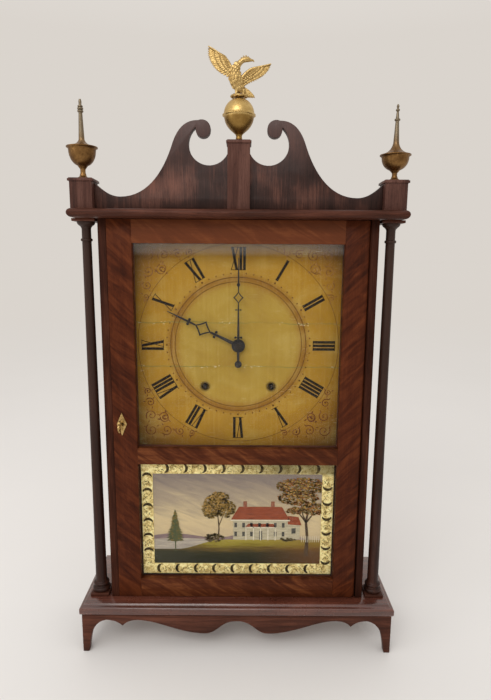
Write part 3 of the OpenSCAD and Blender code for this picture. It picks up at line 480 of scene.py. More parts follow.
def inlay(name, outlines, front, depth, material, body):
    """Flat shapes in the X-Z plane that share their edges, as one solid from y = front back by depth."""
    bm = bmesh.new()
    for outline in outlines:
        bm.faces.new([bm.verts.new((x, front, z)) for x, z in outline])
    bmesh.ops.remove_doubles(bm, verts=bm.verts[:], dist=1e-6)
    grown = bmesh.ops.extrude_face_region(bm, geom=bm.faces[:])
    moved = [v for v in grown["geom"] if isinstance(v, bmesh.types.BMVert)]
    bmesh.ops.translate(bm, verts=moved, vec=(0, depth, 0))
    bmesh.ops.recalc_face_normals(bm, faces=bm.faces[:])
    return shown(name, bm, material, body)


def tube(bm, points, radii, sides=10, squeeze=1.0):
    """Round tube through points, closed at both ends; squeeze flattens it along Y."""
    rings = []
    for i, point in enumerate(points):
        way = (points[min(i + 1, len(points) - 1)] - points[max(i - 1, 0)]).normalized()
        side = way.cross(Vector((0, 1, 0)))
        side = side.normalized() if side.length > 1e-6 else Vector((1, 0, 0))
        over = side.cross(way).normalized()
        ring = []
        for k in range(sides):
            a = 2 * math.pi * k / sides
            offset = side * math.cos(a) + over * math.sin(a) * squeeze
            ring.append(bm.verts.new(point + offset * radii[i]))
        rings.append(ring)
    for a, b in zip(rings, rings[1:]):
        for k in range(sides):
            bm.faces.new((a[k], a[(k + 1) % sides], b[(k + 1) % sides], b[k]))
    bm.faces.new(rings[0][::-1])
    bm.faces.new(rings[-1])
    bmesh.ops.recalc_face_normals(bm, faces=bm.faces[:])


def smooth_path(points, count):
    """count points on a smooth curve through the given ones."""
    path = []
    last = len(points) - 1
    for i in range(count):
        t = i / (count - 1) * last
        k = min(int(t), last - 1)
        t -= k
        p0, p1, p2, p3 = (Vector(points[min(max(k + j, 0), last)]) for j in (-1, 0, 1, 2))
        path.append(0.5 * (2 * p1 + (p2 - p0) * t + (2 * p0 - 5 * p1 + 4 * p2 - p3) * t * t
                           + (3 * p1 - p0 - 3 * p2 + p3) * t ** 3))
    return path


def ribbon(points, widths):
    """Outline of a band along points in the X-Z plane, with a width at each."""
    left, right = [], []
    for i, point in enumerate(points):
        way = (Vector(points[min(i + 1, len(points) - 1)]) - Vector(points[max(i - 1, 0)])).normalized()
        side = Vector((-way.y, way.x)) * widths[i] / 2
        left.append(tuple(Vector(point) + side))
        right.append(tuple(Vector(point) - side))
    return left + right[::-1]


def around(centre, radius, angle):
    return centre[0] + radius * math.cos(angle), centre[1] + radius * math.sin(angle)


def ring(centre, inner, outer, count=96):
    """Quads of a flat ring round a centre."""
    step = 2 * math.pi / count
    return [[around(centre, inner, i * step), around(centre, inner, (i + 1) * step),
             around(centre, outer, (i + 1) * step), around(centre, outer, i * step)] for i in range(count)]


def disc(centre, radius, count=12):
    return [around(centre, radius, 2 * math.pi * i / count) for i in range(count)]


# ---- camera, floor and light

def camera():
    """Lens, place and direction solved from the straight edges of the clock."""
    pitch, yaw, roll = (math.radians(a) for a in (9.88, 0.07, 0.39))
    data = bpy.data.cameras.new("camera")
    data.lens = 27.16
    data.sensor_width = 36
    data.sensor_fit = "AUTO"
    seen_from = bpy.data.objects.new("camera", data)
    seen_from.matrix_world = (Matrix.Translation((0.00906, -0.72788, 0.55326)) @ Matrix.Rotation(-yaw, 4, "Z")
                              @ Matrix.Rotation(math.pi / 2 - pitch, 4, "X") @ Matrix.Rotation(roll, 4, "Z"))
    bpy.context.scene.collection.objects.link(seen_from)
    bpy.context.scene.camera = seen_from


def floor():
    bm = bmesh.new()
    bmesh.ops.create_grid(bm, x_segments=2, y_segments=2, size=60)
    mesh = bpy.data.meshes.new("floor")
    bm.to_mesh(mesh)
    bm.free()
    mesh.materials.append(floor_card())
    piece = bpy.data.objects.new("floor", mesh)
    bpy.context.scene.collection.objects.link(piece)


def lamp(name, at, aim, size, watts, tint):
    data = bpy.data.lights.new(name, "AREA")
    data.shape = "RECTANGLE"
    data.size, data.size_y = size
    data.energy = watts
    data.color = tint
    light = bpy.data.objects.new(name, data)
    light.location = at
    light.rotation_euler = (Vector(aim) - Vector(at)).to_track_quat("-Z", "Y").to_euler()
    bpy.context.scene.collection.objects.link(light)


def studio():
    """A pale room, brighter overhead, with one large lamp above the front and a weak one at the left."""
    world = bpy.data.worlds.new("studio")
    world.use_nodes = True
    tree = world.node_tree
    direction = tree.nodes.new("ShaderNodeTexCoord")
    parts = tree.nodes.new("ShaderNodeSeparateXYZ")
    sky = tree.nodes.new("ShaderNodeValToRGB")
    tree.links.new(direction.outputs["Generated"], parts.inputs[0])
    tree.links.new(parts.outputs["Z"], sky.inputs["Fac"])
    tree.links.new(sky.outputs["Color"], tree.nodes["Background"].inputs["Color"])
    for element, place, colour in zip(sky.color_ramp.elements, (0.35, 0.9), (HORIZON, (255, 253, 251))):
        element.position = place
        element.color = tone(colour)
    bpy.context.scene.world = world
    lamp("key", (-0.5, -1.6, 1.8), (0, 0, 0.45), (1.4, 0.8), 15, (1.0, 0.98, 0.95))
    lamp("left", (-1.6, -0.9, 1.0), (0, 0, 0.4), (0.8, 1.2), 4, (0.95, 0.97, 1.0))
    bpy.context.scene.view_settings.view_transform = "Standard"


# ---- case, crest and door

def dress(material, ease, *nodes):
    """Nodes of one material, their edges rounded by ease in millimetres."""
    for node in nodes:
        eased(node, material, ease * MM)


def case_work():
    dress(BASE_WOOD, 0.8, "base_board")
    dress(MAHOGANY_X, 0.5, "front_apron", "column_blocks")
    dress(MAHOGANY_X, 0.3, "cornice_board", "glazing_beads")
    dress(MAHOGANY_Y, 0.5, "side_aprons")
    dress(SIDE_WOOD, 0.5, "case_side_l", "case_side_r")
    dress(COLUMN_WOOD, 0, "column_l", "column_r")
    dress(CREST, 0.6, "scroll_board")
    dress(PLINTH_WOOD, 0.4, "side_plinths", "centre_plinth")
    dress(PINE_Z, 0.6, "backboard")
    dress(PINE_Z, 0.4, "dial_cleats")
    dress(VENEER_Z, 0.5, "door_stile_l")
    dress(VENEER_R, 0.5, "door_stile_r")
    dress(VENEER_X, 0.4, "door_rails")


def brass_work():
    dress(AGED_BRASS, 0, "finial_l", "finial_r")
    dress(BALL_BRASS, 0, "ball_finial")
    dress(GILT, 0.2, "escutcheon")
    dress(GILT, 0.3, "key")
    dress(AGED_BRASS, 0.3, "lock_case", "lock_bolt")
    dress(AGED_BRASS, 0.2, "hinge_pins", "hinge_bushes")


def movement():
    dress(MOVEMENT_BRASS, 0.2, "front_plate", "back_plate", "plate_pillars", "suspension_cock")
    dress(MOVEMENT_BRASS, 0.3, "pendulum_bob")
    dress(ARBOR_BRASS, 0.2, "time_drum", "strike_drum")
    painted("centre_arbor", ARBOR_BRASS)
    for wheel in ("hour_pipe", "minute_wheel", "time_great_wheel", "third_wheel", "escape_wheel",
                  "strike_great_wheel", "strike_wheel"):
        painted(wheel, MOVEMENT_BRASS)
    dress(STEEL, 0.1, "verge", "pendulum_rod", "hammer", "bell_post", "pulley_forks")
    dress(BELL_METAL, 0, "bell")
    dress(PINE_X, 0.2, "pulley_l", "pulley_r")
    dress(CAST_IRON, 1.6, "weight_time", "weight_strike")


# ---- dial and hands

NUMERALS = ("I", "II", "III", "IIII", "V", "VI", "VII", "VIII", "IX", "X", "XI", "XII")
NUMERAL_FOOT, NUMERAL_HEAD = 103 * MM, 132 * MM
BAR, BAR_STEP, HAIRLINE = 3.7 * MM, 4.9 * MM, 1.0 * MM
LETTER_WIDTH = {"I": BAR_STEP, "V": 10.2 * MM, "X": 10.6 * MM}


def letter(kind, left):
    """Strokes of one Roman letter as (foot, head, width) across a band one numeral high."""
    if kind == "I":
        x = left + BAR_STEP / 2
        return [(x, x, BAR)]
    width = LETTER_WIDTH[kind] - 1.2 * MM
    head_l, head_r = left + BAR / 2, left + width - HAIRLINE / 2
    if kind == "V":
        return [(left + width / 2, head_l, BAR), (left + width / 2, head_r, HAIRLINE)]
    return [(left + width - BAR / 2, head_l, BAR), (left + HAIRLINE / 2, head_r, HAIRLINE)]


def numeral(text, hour):
    """Outlines of a numeral, its top outward, at its hour."""
    turn = math.radians(30 * hour)
    out = Vector((math.sin(turn), math.cos(turn)))
    side = Vector((math.cos(turn), -math.sin(turn)))

    def at(across, up):
        point = out * up + side * across
        return (point.x, DIAL_Z + point.y)

    total = sum(LETTER_WIDTH[c] for c in text)
    left = -total / 2
    shapes = []
    for c in text:
        for foot, head, width in letter(c, left):
            shapes.append([at(foot - width / 2, NUMERAL_FOOT), at(head - width / 2, NUMERAL_HEAD),
                           at(head + width / 2, NUMERAL_HEAD), at(foot + width / 2, NUMERAL_FOOT)])
        left += LETTER_WIDTH[c]
    edge = total / 2 - 0.2 * MM
    serif = 0.8 * MM
    for up in (NUMERAL_FOOT - serif / 2, NUMERAL_HEAD + serif / 2):
        shapes.append([at(-edge, up - serif / 2), at(-edge, up + serif / 2), at(edge, up + serif / 2),
                       at(edge, up - serif / 2)])
    return shapes


def spiral(centre, radius, start, turns, hand, width):
    """Band that winds in from radius to about a quarter of it, ending in a small ball."""
    steps = [i / 25 for i in range(26)]
    points = [around(centre, radius * (1 - 0.78 * t), start + hand * 2 * math.pi * turns * t) for t in steps]
    return [ribbon(points, [width * (1 - 0.5 * t) for t in steps]), disc(points[-1], width * 0.9, 10)]


def spandrel(side, level):
    """Scrolls with leaves in one corner of the dial, the same along both of its edges."""
    reach = OPENING_X - 5 * MM
    corner = reach * side, DIAL_Z + reach * level
    shapes = []
    layout = ((10, 10, 9, 0.6), (31, 10, 8, 2.2), (50, 8.5, 6.5, 0.9), (66, 6, 4.8, 2.4), (29, 28, 7, 1.4))
    for along, across, radius, start in layout:
        spots = [(along, across, 1)] if along == across else [(along, across, 1), (across, along, -1)]
        for dx, dz, hand in spots:
            centre = (corner[0] - side * dx * MM, corner[1] - level * dz * MM)
            shapes += spiral(centre, radius * MM, start + (0 if side > 0 else math.pi / 2), 1.25,
                             hand * side * level, 1.5 * MM)
            for leaf in (start, start + 2.1, start + 4.2):
                stalk = [around(centre, (radius + out) * MM, leaf) for out in (0, 1.7, 3.4)]
                shapes.append(ribbon(stalk, [0.5 * MM, 1.5 * MM, 0.3 * MM]))
    return shapes


def separate_inlays(name, outlines, front, depth, material, body):
    """Like inlay, for outlines that may cross each other: each is its own small solid."""
    bm = bmesh.new()
    for outline in outlines:
        near = [bm.verts.new((x, front, z)) for x, z in outline]
        far = [bm.verts.new((x, front + depth, z)) for x, z in outline]
        bm.faces.new(near)
        bm.faces.new(far[::-1])
        for i in range(len(near)):
            j = (i + 1) % len(near)
            bm.faces.new((near[j], near[i], far[i], far[j]))
    bmesh.ops.recalc_face_normals(bm, faces=bm.faces[:])
    return shown(name, bm, material, body)


def dial_art():
    """Chapter ring, numerals, dots and corner scrolls, painted on the dial board."""
    skin = 0.12 * MM
    front = DIAL_FRONT - skin
    centre = (0, DIAL_Z)
    for name, radius, width in (("ring_inner", 86.7, 1.0), ("ring_outer", 92.8, 1.2),
                                ("ring_rim", 137.5, 0.6)):
        band = ring(centre, (radius - width / 2) * MM, (radius + width / 2) * MM, 160)
        inlay(name, band, front, skin, LINE_PAINT, "case")
    dots = [disc(around(centre, 98.2 * MM, math.radians(90 - 6 * k)), (1.05 if k % 5 else 1.4) * MM, 10)
            for k in range(60)]
    separate_inlays("minute_dots", dots, front, skin, LINE_PAINT, "case")
    strokes = [shape for hour, text in enumerate(NUMERALS, 1) for shape in numeral(text, hour)]
    separate_inlays("numerals", strokes, front - 0.02 * MM, skin, BLACK_PAINT, "case")
    # Upper corners take the lighter scroll paint, whose extra lightness is painted reflection; lower corners
    # the darker.
    for corner, (side, level) in {"tl": (-1, 1), "tr": (1, 1), "bl": (-1, -1), "br": (1, -1)}.items():
        separate_inlays("spandrel_" + corner, spandrel(side, level), front, skin,
                        SCROLL_HAZED if level > 0 else SCROLL_DARK, "case")


def turned_shape(outline, angle):
    """Outline of a hand, in millimetres along it, turned clockwise about the dial's centre."""
    a = math.radians(angle)
    return [((x * math.cos(a) + z * math.sin(a)) * MM, DIAL_Z + (z * math.cos(a) - x * math.sin(a)) * MM)
            for x, z in outline]


def hollow_star(at, half_w, half_h, band):
    """Quads of a four-pointed ring with hollow sides."""
    count = 48
    power = 2.3

    def point(i, w, h):
        a = 2 * math.pi * i / count
        c, s = math.cos(a), math.sin(a)
        return (math.copysign(abs(c) ** power, c) * w, at + math.copysign(abs(s) ** power, s) * h)

    inner = (half_w - band * 2.2, half_h - band * 2.2)
    return [[point(i, *inner), point(i + 1, *inner), point(i + 1, half_w, half_h), point(i, half_w, half_h)]
            for i in range(count)]


def cross_bar(at, half, ball=1.6):
    """Thin bar across a hand with a ball at each end."""
    return [[(-half, at - 0.6), (half, at - 0.6), (half, at + 0.6), (-half, at + 0.6)],
            disc((-half, at), ball, 12), disc((half, at), ball, 12)]


def hand_piece(node, shapes, angle):
    """A hand cut from sheet iron, its pieces turned to its hour and joined in one mesh."""
    low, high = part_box(node)
    piece = separate_inlays(node + "_fine", [turned_shape(s, angle) for s in shapes], low.y, high.y - low.y,
                            HAND_IRON, BODY_OF[node])
    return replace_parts(piece, node)


def hands():
    """The minute hand at twelve and the hour hand a little before ten, in millimetres along each."""
    tip, star = (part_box("minute_hand")[1].z - DIAL_Z) / MM, 66
    minute = ring((0, 0), 2.5, 6, 32) + hollow_star(star, 7.2, 8.4, 1.0)
    minute += cross_bar(12, 4) + cross_bar(49.5, 3.2, 1.1)
    minute += [[(-1.8, 5), (-0.8, star - 7.6), (0.8, star - 7.6), (1.8, 5)],
               [(-0.7, star + 7.6), (-1.0, star + 26), (-0.4, tip), (0.4, tip), (1.0, star + 26),
                (0.7, star + 7.6)],
               disc((0, star + 17), 2.4, 16), [(-1.9, -5), (1.9, -5), (1.5, -22), (-1.5, -22)],
               disc((0, -25), 4.9, 24)]
    hand_piece("minute_hand", minute, 0)
    tip, star = 107, 53.5
    hour = ring((0, 0), 4, 9.2, 40) + hollow_star(star, 11.4, 12.6, 1.4)
    hour += cross_bar(35, 3.6, 1.9) + cross_bar(75, 3.2, 2)
    hour += [[(-2.4, 8.6), (-1.4, star - 11.6), (1.4, star - 11.6), (2.4, 8.6)],
             [(-1.2, star + 11.6), (-1.4, star + 28), (-0.5, tip), (0.5, tip), (1.4, star + 28),
              (1.2, star + 11.6)]]
    hand_piece("hour_hand", hour, 296)


# ---- painted tablet

BORDER, BORDER_GAP = 16 * MM, 1.8 * MM
COAT, COAT_STEP = 0.08 * MM, 0.1 * MM
PICTURE_X = OPENING_X - BORDER_GAP - BORDER
PICTURE_LOW, PICTURE_HIGH = TABLET_LOW + BORDER_GAP + BORDER, TABLET_HIGH - BORDER_GAP - BORDER
PICTURE_WIDTH, PICTURE_HEIGHT = 2 * PICTURE_X, PICTURE_HIGH - PICTURE_LOW


def tablet_layer(name, outlines, layer, material):
    """One coat of paint behind the lower pane; layer 1 lies on the glass and higher ones behind it."""
    return separate_inlays(name, outlines, GLASS_BACK + (layer - 1) * COAT_STEP, COAT, material, "door")


def border_unit(pick, at, way):
    """One crescent with the leaves beside it; way is the direction that the row runs in."""
    way, centre = Vector(way), Vector(at)
    side = Vector((-way.y, way.x))
    angles = [math.radians(d) for d in range(-82, 83, 12)]
    arc = [tuple(centre + way * 5.4 * MM * math.cos(a) + side * 6.4 * MM * math.sin(a)) for a in angles]
    leaves = []
    for _ in range(13):
        spot = centre - way * pick.uniform(1, 19) * MM + side * pick.uniform(-5, 5) * MM
        lean = pick.uniform(0, 6.28)
        step = Vector((math.cos(lean), math.sin(lean))) * pick.uniform(0.8, 2.4) * MM
        leaves.append(ribbon([tuple(spot - step), tuple(spot), tuple(spot + step)],
                             [0.2 * MM, pick.uniform(0.6, 1.2) * MM, 0.2 * MM]))
    return ribbon(arc, [(0.6 + 3.4 * math.cos(a)) * MM for a in angles]), leaves


def gold_border():
    """Gold strips round the picture with repeated crescents and leaves."""
    x0, z2, z3 = PICTURE_X, PICTURE_LOW, PICTURE_HIGH
    x1, z0, z1 = x0 + BORDER, z2 - BORDER, z3 + BORDER
    strips = [[(-x1, z0), (x1, z0), (x0, z2), (-x0, z2)], [(-x1, z1), (-x0, z3), (x0, z3), (x1, z1)],
              [(-x1, z0), (-x0, z2), (-x0, z3), (-x1, z1)], [(x1, z0), (x1, z1), (x0, z3), (x0, z2)]]
    tablet_layer("gold_border", strips, 2, GOLD_LEAF)
    pick = random.Random(11)
    spots = []
    for k in range(9):
        x = -x0 + (k + 0.6) * 2 * x0 / 9
        spots += [((x, z3 + BORDER / 2), (1, 0)), ((-x, z2 - BORDER / 2), (-1, 0))]
    for k in range(6):
        rise = (k + 0.75) * (z3 - z2) / 6
        spots += [((x0 + BORDER / 2, z3 - rise), (0, -1)), ((-x0 - BORDER / 2, z2 + rise), (0, 1))]
    units = [border_unit(pick, at, way) for at, way in spots]
    tablet_layer("border_crescents", [crescent for crescent, _ in units], 1, BORDER_DARK)
    tablet_layer("border_leaves", [leaf for _, leaves in units for leaf in leaves], 1, BORDER_OLIVE)


def blob(pick, centre, spread, size, count):
    """Small leaf-like dabs scattered in an ellipse round a centre."""
    dabs = []
    for _ in range(count):
        a, r = pick.uniform(0, 2 * math.pi), math.sqrt(pick.random())
        x, z = centre[0] + spread[0] * r * math.cos(a), centre[1] + spread[1] * r * math.sin(a)
        turn, reach = pick.uniform(-0.7, 0.7), size * pick.uniform(0.6, 1.3)
        dab = []
        for k in range(8):
            b, out = turn + math.pi * k / 4, reach * (1.0 if k % 2 else 0.62)
            dab.append((x + out * math.cos(b), z + out * 0.55 * math.sin(b)))
        dabs.append(dab)
    return dabs


def at(u, v):
    """Place in the picture, from 0 to 1 rightward and upward."""
    return (-PICTURE_X + u * PICTURE_WIDTH, PICTURE_LOW + v * PICTURE_HEIGHT)


def shape(*points):
    return [at(u, v) for u, v in points]


def panel(u0, v0, u1, v1):
    return shape((u0, v0), (u1, v0), (u1, v1), (u0, v1))


def land():
    """Black backing, sky, hills, lake and lawn; sky and lawn run a little under the gold border."""
    over = 0.006
    backing = [(-OPENING_X, TABLET_LOW), (OPENING_X, TABLET_LOW),
               (OPENING_X, TABLET_HIGH), (-OPENING_X, TABLET_HIGH)]
    tablet_layer("backing", [backing], 12, BACKING)
    tablet_layer("sky", [panel(-over, 0.2, 1 + over, 1 + over)], 11, SKY)
    hills = [(u / 10, 0.315 + 0.025 * math.sin(u * 1.3) + 0.012 * math.sin(u * 3.1)) for u in range(6)]
    tablet_layer("far_hills", [shape((0, 0.2), *hills, (0.5, 0.2))], 10, HILLS)
    lake = shape((0, 0.16), (0, 0.27), (0.12, 0.285), (0.30, 0.275), (0.36, 0.2), (0.2, 0.16))
    tablet_layer("lake", [lake], 9, LAKE)
    slope = [(-over, 0.155)]
    for k in range(1, 21):
        rise = min(1, max(0, (k / 20 - 0.12) / 0.30))
        slope.append((k / 20, 0.155 + 0.115 * (0.5 - 0.5 * math.cos(math.pi * rise))))
    tablet_layer("lawn", [shape((-over, -over), *slope, (1 + over, 0.27), (1 + over, -over))], 7, LAWN)


def foliage(pick, crowns, coats):
    """Adds dabs to each coat for each crown. A crown is (centre, spread, number of dabs). A coat is (its
    list, size of a dab, sixths of the number that it gets, shift up and left to the light), in millimetres."""
    for centre, spread, dabs in crowns:
        spot, size = at(*centre), (spread[0] * PICTURE_WIDTH, spread[1] * PICTURE_HEIGHT)
        for coat, dab, sixths, lit in coats:
            inner = 0.8 if lit else 1.0
            coat += blob(pick, (spot[0] - lit * MM, spot[1] + lit * MM), (size[0] * inner, size[1] * inner),
                         dab * MM, dabs * sixths // 6)


def trees(pick):
    """A tree left of the house and a larger one at the right edge, with shrubs beside the house."""
    dark, olive, light, rust = [], [], [], []
    foliage(pick, (((0.375, 0.66), (0.075, 0.12), 110), ((0.345, 0.60), (0.055, 0.09), 60),
                   ((0.43, 0.62), (0.06, 0.10), 70), ((0.40, 0.74), (0.05, 0.06), 40)),
            ((dark, 2.6, 3, 0), (olive, 1.9, 12, 0), (light, 1.3, 6, 3)))
    foliage(pick, (((0.88, 0.87), (0.15, 0.09), 210), ((0.86, 0.74), (0.12, 0.08), 150),
                   ((0.95, 0.62), (0.07, 0.07), 80), ((0.84, 0.60), (0.05, 0.04), 40)),
            ((dark, 2.6, 3, 0), (rust, 2.0, 6, 0), (olive, 1.8, 6, 0), (light, 1.4, 2, 2)))
    limbs = [(((0.385, 0.25), (0.39, 0.40), (0.382, 0.56)), (2.2, 1.6, 1.0)),
             (((0.388, 0.42), (0.41, 0.52), (0.43, 0.60)), (1.3, 0.9, 0.5)),
             (((0.915, 0.09), (0.92, 0.30), (0.91, 0.48), (0.93, 0.66)), (6.4, 4.2, 3.4, 1.6))]
    for u, v in ((0.84, 0.64), (0.98, 0.68), (0.87, 0.80)):
        limbs.append((((0.912, 0.47), ((0.912 + u) / 2, 0.55), (u, v)), (2.6, 1.6, 0.6)))
    shrubs = blob(pick, at(0.36, 0.29), (0.06 * PICTURE_WIDTH, 0.045 * PICTURE_HEIGHT), 2.6 * MM, 60)
    shrubs += blob(pick, at(0.80, 0.275), (0.05 * PICTURE_WIDTH, 0.02 * PICTURE_HEIGHT), 2.0 * MM, 40)
    tablet_layer("tree_shade", dark, 4, LEAF_DARK)
    tablet_layer("tree_leaves", olive, 3, LEAF_OLIVE)
    tablet_layer("tree_rust", rust, 3, LEAF_RUST)
    tablet_layer("tree_light", light, 2, LEAF_LIT)
    trunks = [ribbon(shape(*way), [w * MM for w in widths]) for way, widths in limbs]
    tablet_layer("trunks", trunks, 4.5, TRUNK)
    tablet_layer("shrubs", shrubs, 4, LEAF_DARK)


def fir(pick):
    middle_u, trunk = 0.128, 0.003
    edges, lit = {-1: [], 1: []}, []
    for k in range(11):
        v, half = 0.565 - k * 0.030, 0.010 + k * 0.0045
        for side in (-1, 1):
            reach = side * half * pick.uniform(0.85, 1.15)
            edges[side] += [(middle_u + reach, v - 0.012), (middle_u + reach * 0.62, v - 0.008)]
            spread = (half * 0.4 * PICTURE_WIDTH, 2.4 * MM)
            lit += blob(pick, at(middle_u + reach * 0.5, v), spread, 1.3 * MM, 4)
    outline = shape((middle_u, 0.61), *edges[1], (middle_u + trunk, 0.245), (middle_u + trunk, 0.13),
                    (middle_u - trunk, 0.13), (middle_u - trunk, 0.245), *edges[-1][::-1])
    tablet_layer("fir", [outline], 4, FIR)
    tablet_layer("fir_light", lit, 3, LEAF_OLIVE)


def house():
    """White farmhouse with a red roof, a porch on five posts, a lower wing and a fence."""
    left, right, foot, eave, ridge = 0.475, 0.80, 0.27, 0.50, 0.64
    wing_wall = shape((right, foot), (0.875, foot + 0.01), (0.875, 0.44), (right, 0.45))
    tablet_layer("house_wall", [panel(left, foot, right, eave), wing_wall], 6, HOUSE_WALL)
    roof = shape((left - 0.015, eave - 0.01), (right + 0.015, eave - 0.01), (right - 0.035, ridge),
                 (left + 0.035, ridge))
    wing_roof = shape((right + 0.002, 0.445), (0.885, 0.435), (0.865, 0.53), (right + 0.002, 0.54))
    porch_roof = shape((0.545, 0.41), (0.735, 0.41), (0.715, 0.45), (0.565, 0.45))
    tablet_layer("house_roof", [roof, wing_roof, porch_roof], 5, HOUSE_ROOF)
    chimneys = [panel(u, ridge - 0.05, u + 0.022, ridge + 0.06) for u in (0.535, 0.70)]
    tablet_layer("chimneys", chimneys, 5.5, CHIMNEY)
    windows = [panel(u - 0.008, v - 0.026, u + 0.008, v + 0.026)
               for u in [0.49 + k * 0.0475 for k in range(7)] for v in (0.335, 0.435)
               if not (v < 0.4 and 0.60 < u < 0.68)]
    door = panel(0.632, foot, 0.650, 0.37)
    wing_window = shape((0.825, 0.34), (0.850, 0.345), (0.850, 0.405), (0.825, 0.40))
    tablet_layer("house_windows", windows + [door, wing_window], 5, HOUSE_DARK)
    posts = [panel(u - 0.003, foot - 0.005, u + 0.003, 0.412) for u in (0.552, 0.597, 0.640, 0.684, 0.728)]
    rails = [panel(left - 0.015, eave - 0.018, right + 0.015, eave - 0.004),
             panel(0.545, 0.402, 0.735, 0.415)]
    fence = [panel(u, 0.245, u + 0.003, 0.315) for u in [0.885 + k * 0.013 for k in range(9)]]
    tablet_layer("house_trim", posts + rails + fence, 4, HOUSE_TRIM)


def picture():
    """A farmhouse on a lawn above a lake, with a fir and two autumn trees: this builder's own design."""
    pick = random.Random(5)
    land()
    trees(pick)
    fir(pick)
    house()


def tablet():
    eased("tablet_glass", GLASS, 0)
    gold_border()
    picture()


# ---- eagle

def perched(x, z, y=0.0):
    """Point of the eagle, in millimetres from the top of the ball."""
    return PERCH + Vector((x, y, z)) * MM


def feather(bm, root, tip, width, front, curl=0.0):
    """One closed feather with a raised rib, from root to tip in the X-Z plane."""
    steps = 8
    way = tip - root
    side = Vector((-way.z, 0, way.x)).normalized()
    rows = []
    for i in range(steps + 1):
        t = i / steps
        half = width * MM / 2 * min(1.0, 0.55 + 1.1 * t) * math.sqrt(max(0.0, 1 - t ** 3.2)) + 0.05 * MM
        bend = curl * MM * t * t
        centre = root + way * t + Vector((0, front * MM - bend, 0))
        thick = 0.55 * MM * (1 - 0.5 * t)
        rows.append([bm.verts.new(centre + side * half), bm.verts.new(centre + Vector((0, -thick * 1.7, 0))),
                     bm.verts.new(centre - side * half), bm.verts.new(centre + Vector((0, thick, 0)))])
    for a, b in zip(rows, rows[1:]):
        for k in range(4):
            bm.faces.new((a[k], a[(k + 1) % 4], b[(k + 1) % 4], b[k]))
    bm.faces.new(rows[0][::-1])
    bm.faces.new(rows[-1])


def perched_path(points, count):
    return smooth_path([perched(*p) for p in points], count)


def wing(bm, edge, tips, sweep):
    """Four rows of feathers from the leading edge towards the tips, and the bone along the top."""
    front = 1.5
    rows = ((19, 1.0, 4.4, 0.0), (15, 0.68, 3.8, -0.9), (13, 0.42, 3.2, -1.7), (10, 0.24, 2.8, -2.3))
    for count, reach, width, lift in rows:
        for root, end in zip(perched_path(edge, count), perched_path(tips, count)):
            feather(bm, root, root + (end - root) * reach, width, front + lift, curl=0.6)
    bone = [p + Vector((0, (front - 1.6) * MM, 0)) for p in perched_path(sweep, 14)]
    tube(bm, bone, [(2.3 - 1.6 * i / 13) * MM for i in range(14)], 10, 0.8)


def eagle_body(bm):
    """Body and long neck with its beak, crest and rows of breast feathers."""
    course = ((2.4, 5.6, 3.0), (1.4, 9, 5.0), (0, 12.6, 6.6), (-2.4, 16.8, 7.9), (-4.0, 21, 8.2),
              (-5.0, 25.4, 7.8), (-5.2, 29.4, 6.4), (-4.0, 33.4, 4.8), (-1.8, 37.2, 3.8), (1.0, 40.5, 3.3),
              (4.4, 43.0, 3.1), (8.2, 44.0, 3.2), (11.6, 43.7, 2.7), (13.6, 43.2, 1.9))
    spine = perched_path([(x, z) for x, z, _ in course], 44)
    girth = [g.x * MM for g in smooth_path([Vector((r, 0, 0)) for _, _, r in course], 44)]
    tube(bm, spine, girth, 22, 0.82)
    beak = perched_path(((13.0, 43.2), (15.6, 43.1), (17.3, 42.4), (17.9, 41.0)), 8)
    tube(bm, beak, [(1.9 - 1.5 * i / 7) * MM for i in range(8)], 10, 0.9)
    for x0, z0, x1, z1 in ((4.6, 45.2, 1.6, 46.0), (6.4, 46.2, 4.4, 48.2), (8.6, 46.6, 7.8, 49.0),
                           (10.6, 46.0, 10.8, 47.8)):
        feather(bm, perched(x0, z0), perched(x1, z1), 1.8, 0)
    for row in range(8):
        t = 5 + row * 3
        across = (spine[t + 2] - spine[t]).cross(Vector((0, 1, 0))).normalized()
        down = (spine[t] - spine[t + 2]).normalized()
        for k in range(5):
            a = math.radians(-58 + 29 * (k + (row % 2) / 2))
            skin = Vector((0, -math.cos(a) * girth[t] * 0.80, 0)) + across * math.sin(a) * girth[t] * 0.95
            root = spine[t + 1] + skin - down * 1.6 * MM
            feather(bm, root, root + down * 4.8 * MM, 3.4, -0.1, curl=0.2)


def eagle_feet(bm):
    for side in (-1, 1):
        hip, foot = perched(1.5 + side * 4.2, 8.5, -1.5), perched(0.5 + side * 4.6, 3.0, -3.0)
        tube(bm, [hip, (hip + foot) / 2, foot], [2.8 * MM, 1.8 * MM, 1.3 * MM], 10)
        for toe in (-1, 0, 1):
            knuckle = foot + Vector((toe * 1.6 + side * 0.6, -1.8, 0.4)) * MM
            claw = foot + Vector((toe * 2.8 + side, -3.6, -1.6)) * MM
            tube(bm, [foot, knuckle, claw], [0.95 * MM, 0.8 * MM, 0.3 * MM], 8)


def laurel_perch(bm):
    """Round plate on the ball with a ring of leaves."""
    leaves = 16
    for k in range(leaves):
        a = 2 * math.pi * k / leaves
        hub = PERCH + Vector((math.cos(a) * 9.4, math.sin(a) * 7.0, 1.8)) * MM
        lean = Vector((-math.sin(a) * 3.0, math.cos(a) * 2.4, 1.1 if k % 2 else -0.5)) * MM
        tube(bm, [hub - lean, hub, hub + lean], [0.5 * MM, 1.7 * MM, 0.5 * MM], 8)
    plate = bmesh.ops.create_cone(bm, cap_ends=True, segments=40, radius1=7.2 * MM, radius2=6.4 * MM,
                                  depth=1.6 * MM)
    bmesh.ops.translate(bm, verts=plate["verts"], vec=PERCH + Vector((0, 0, 0.8 * MM)))


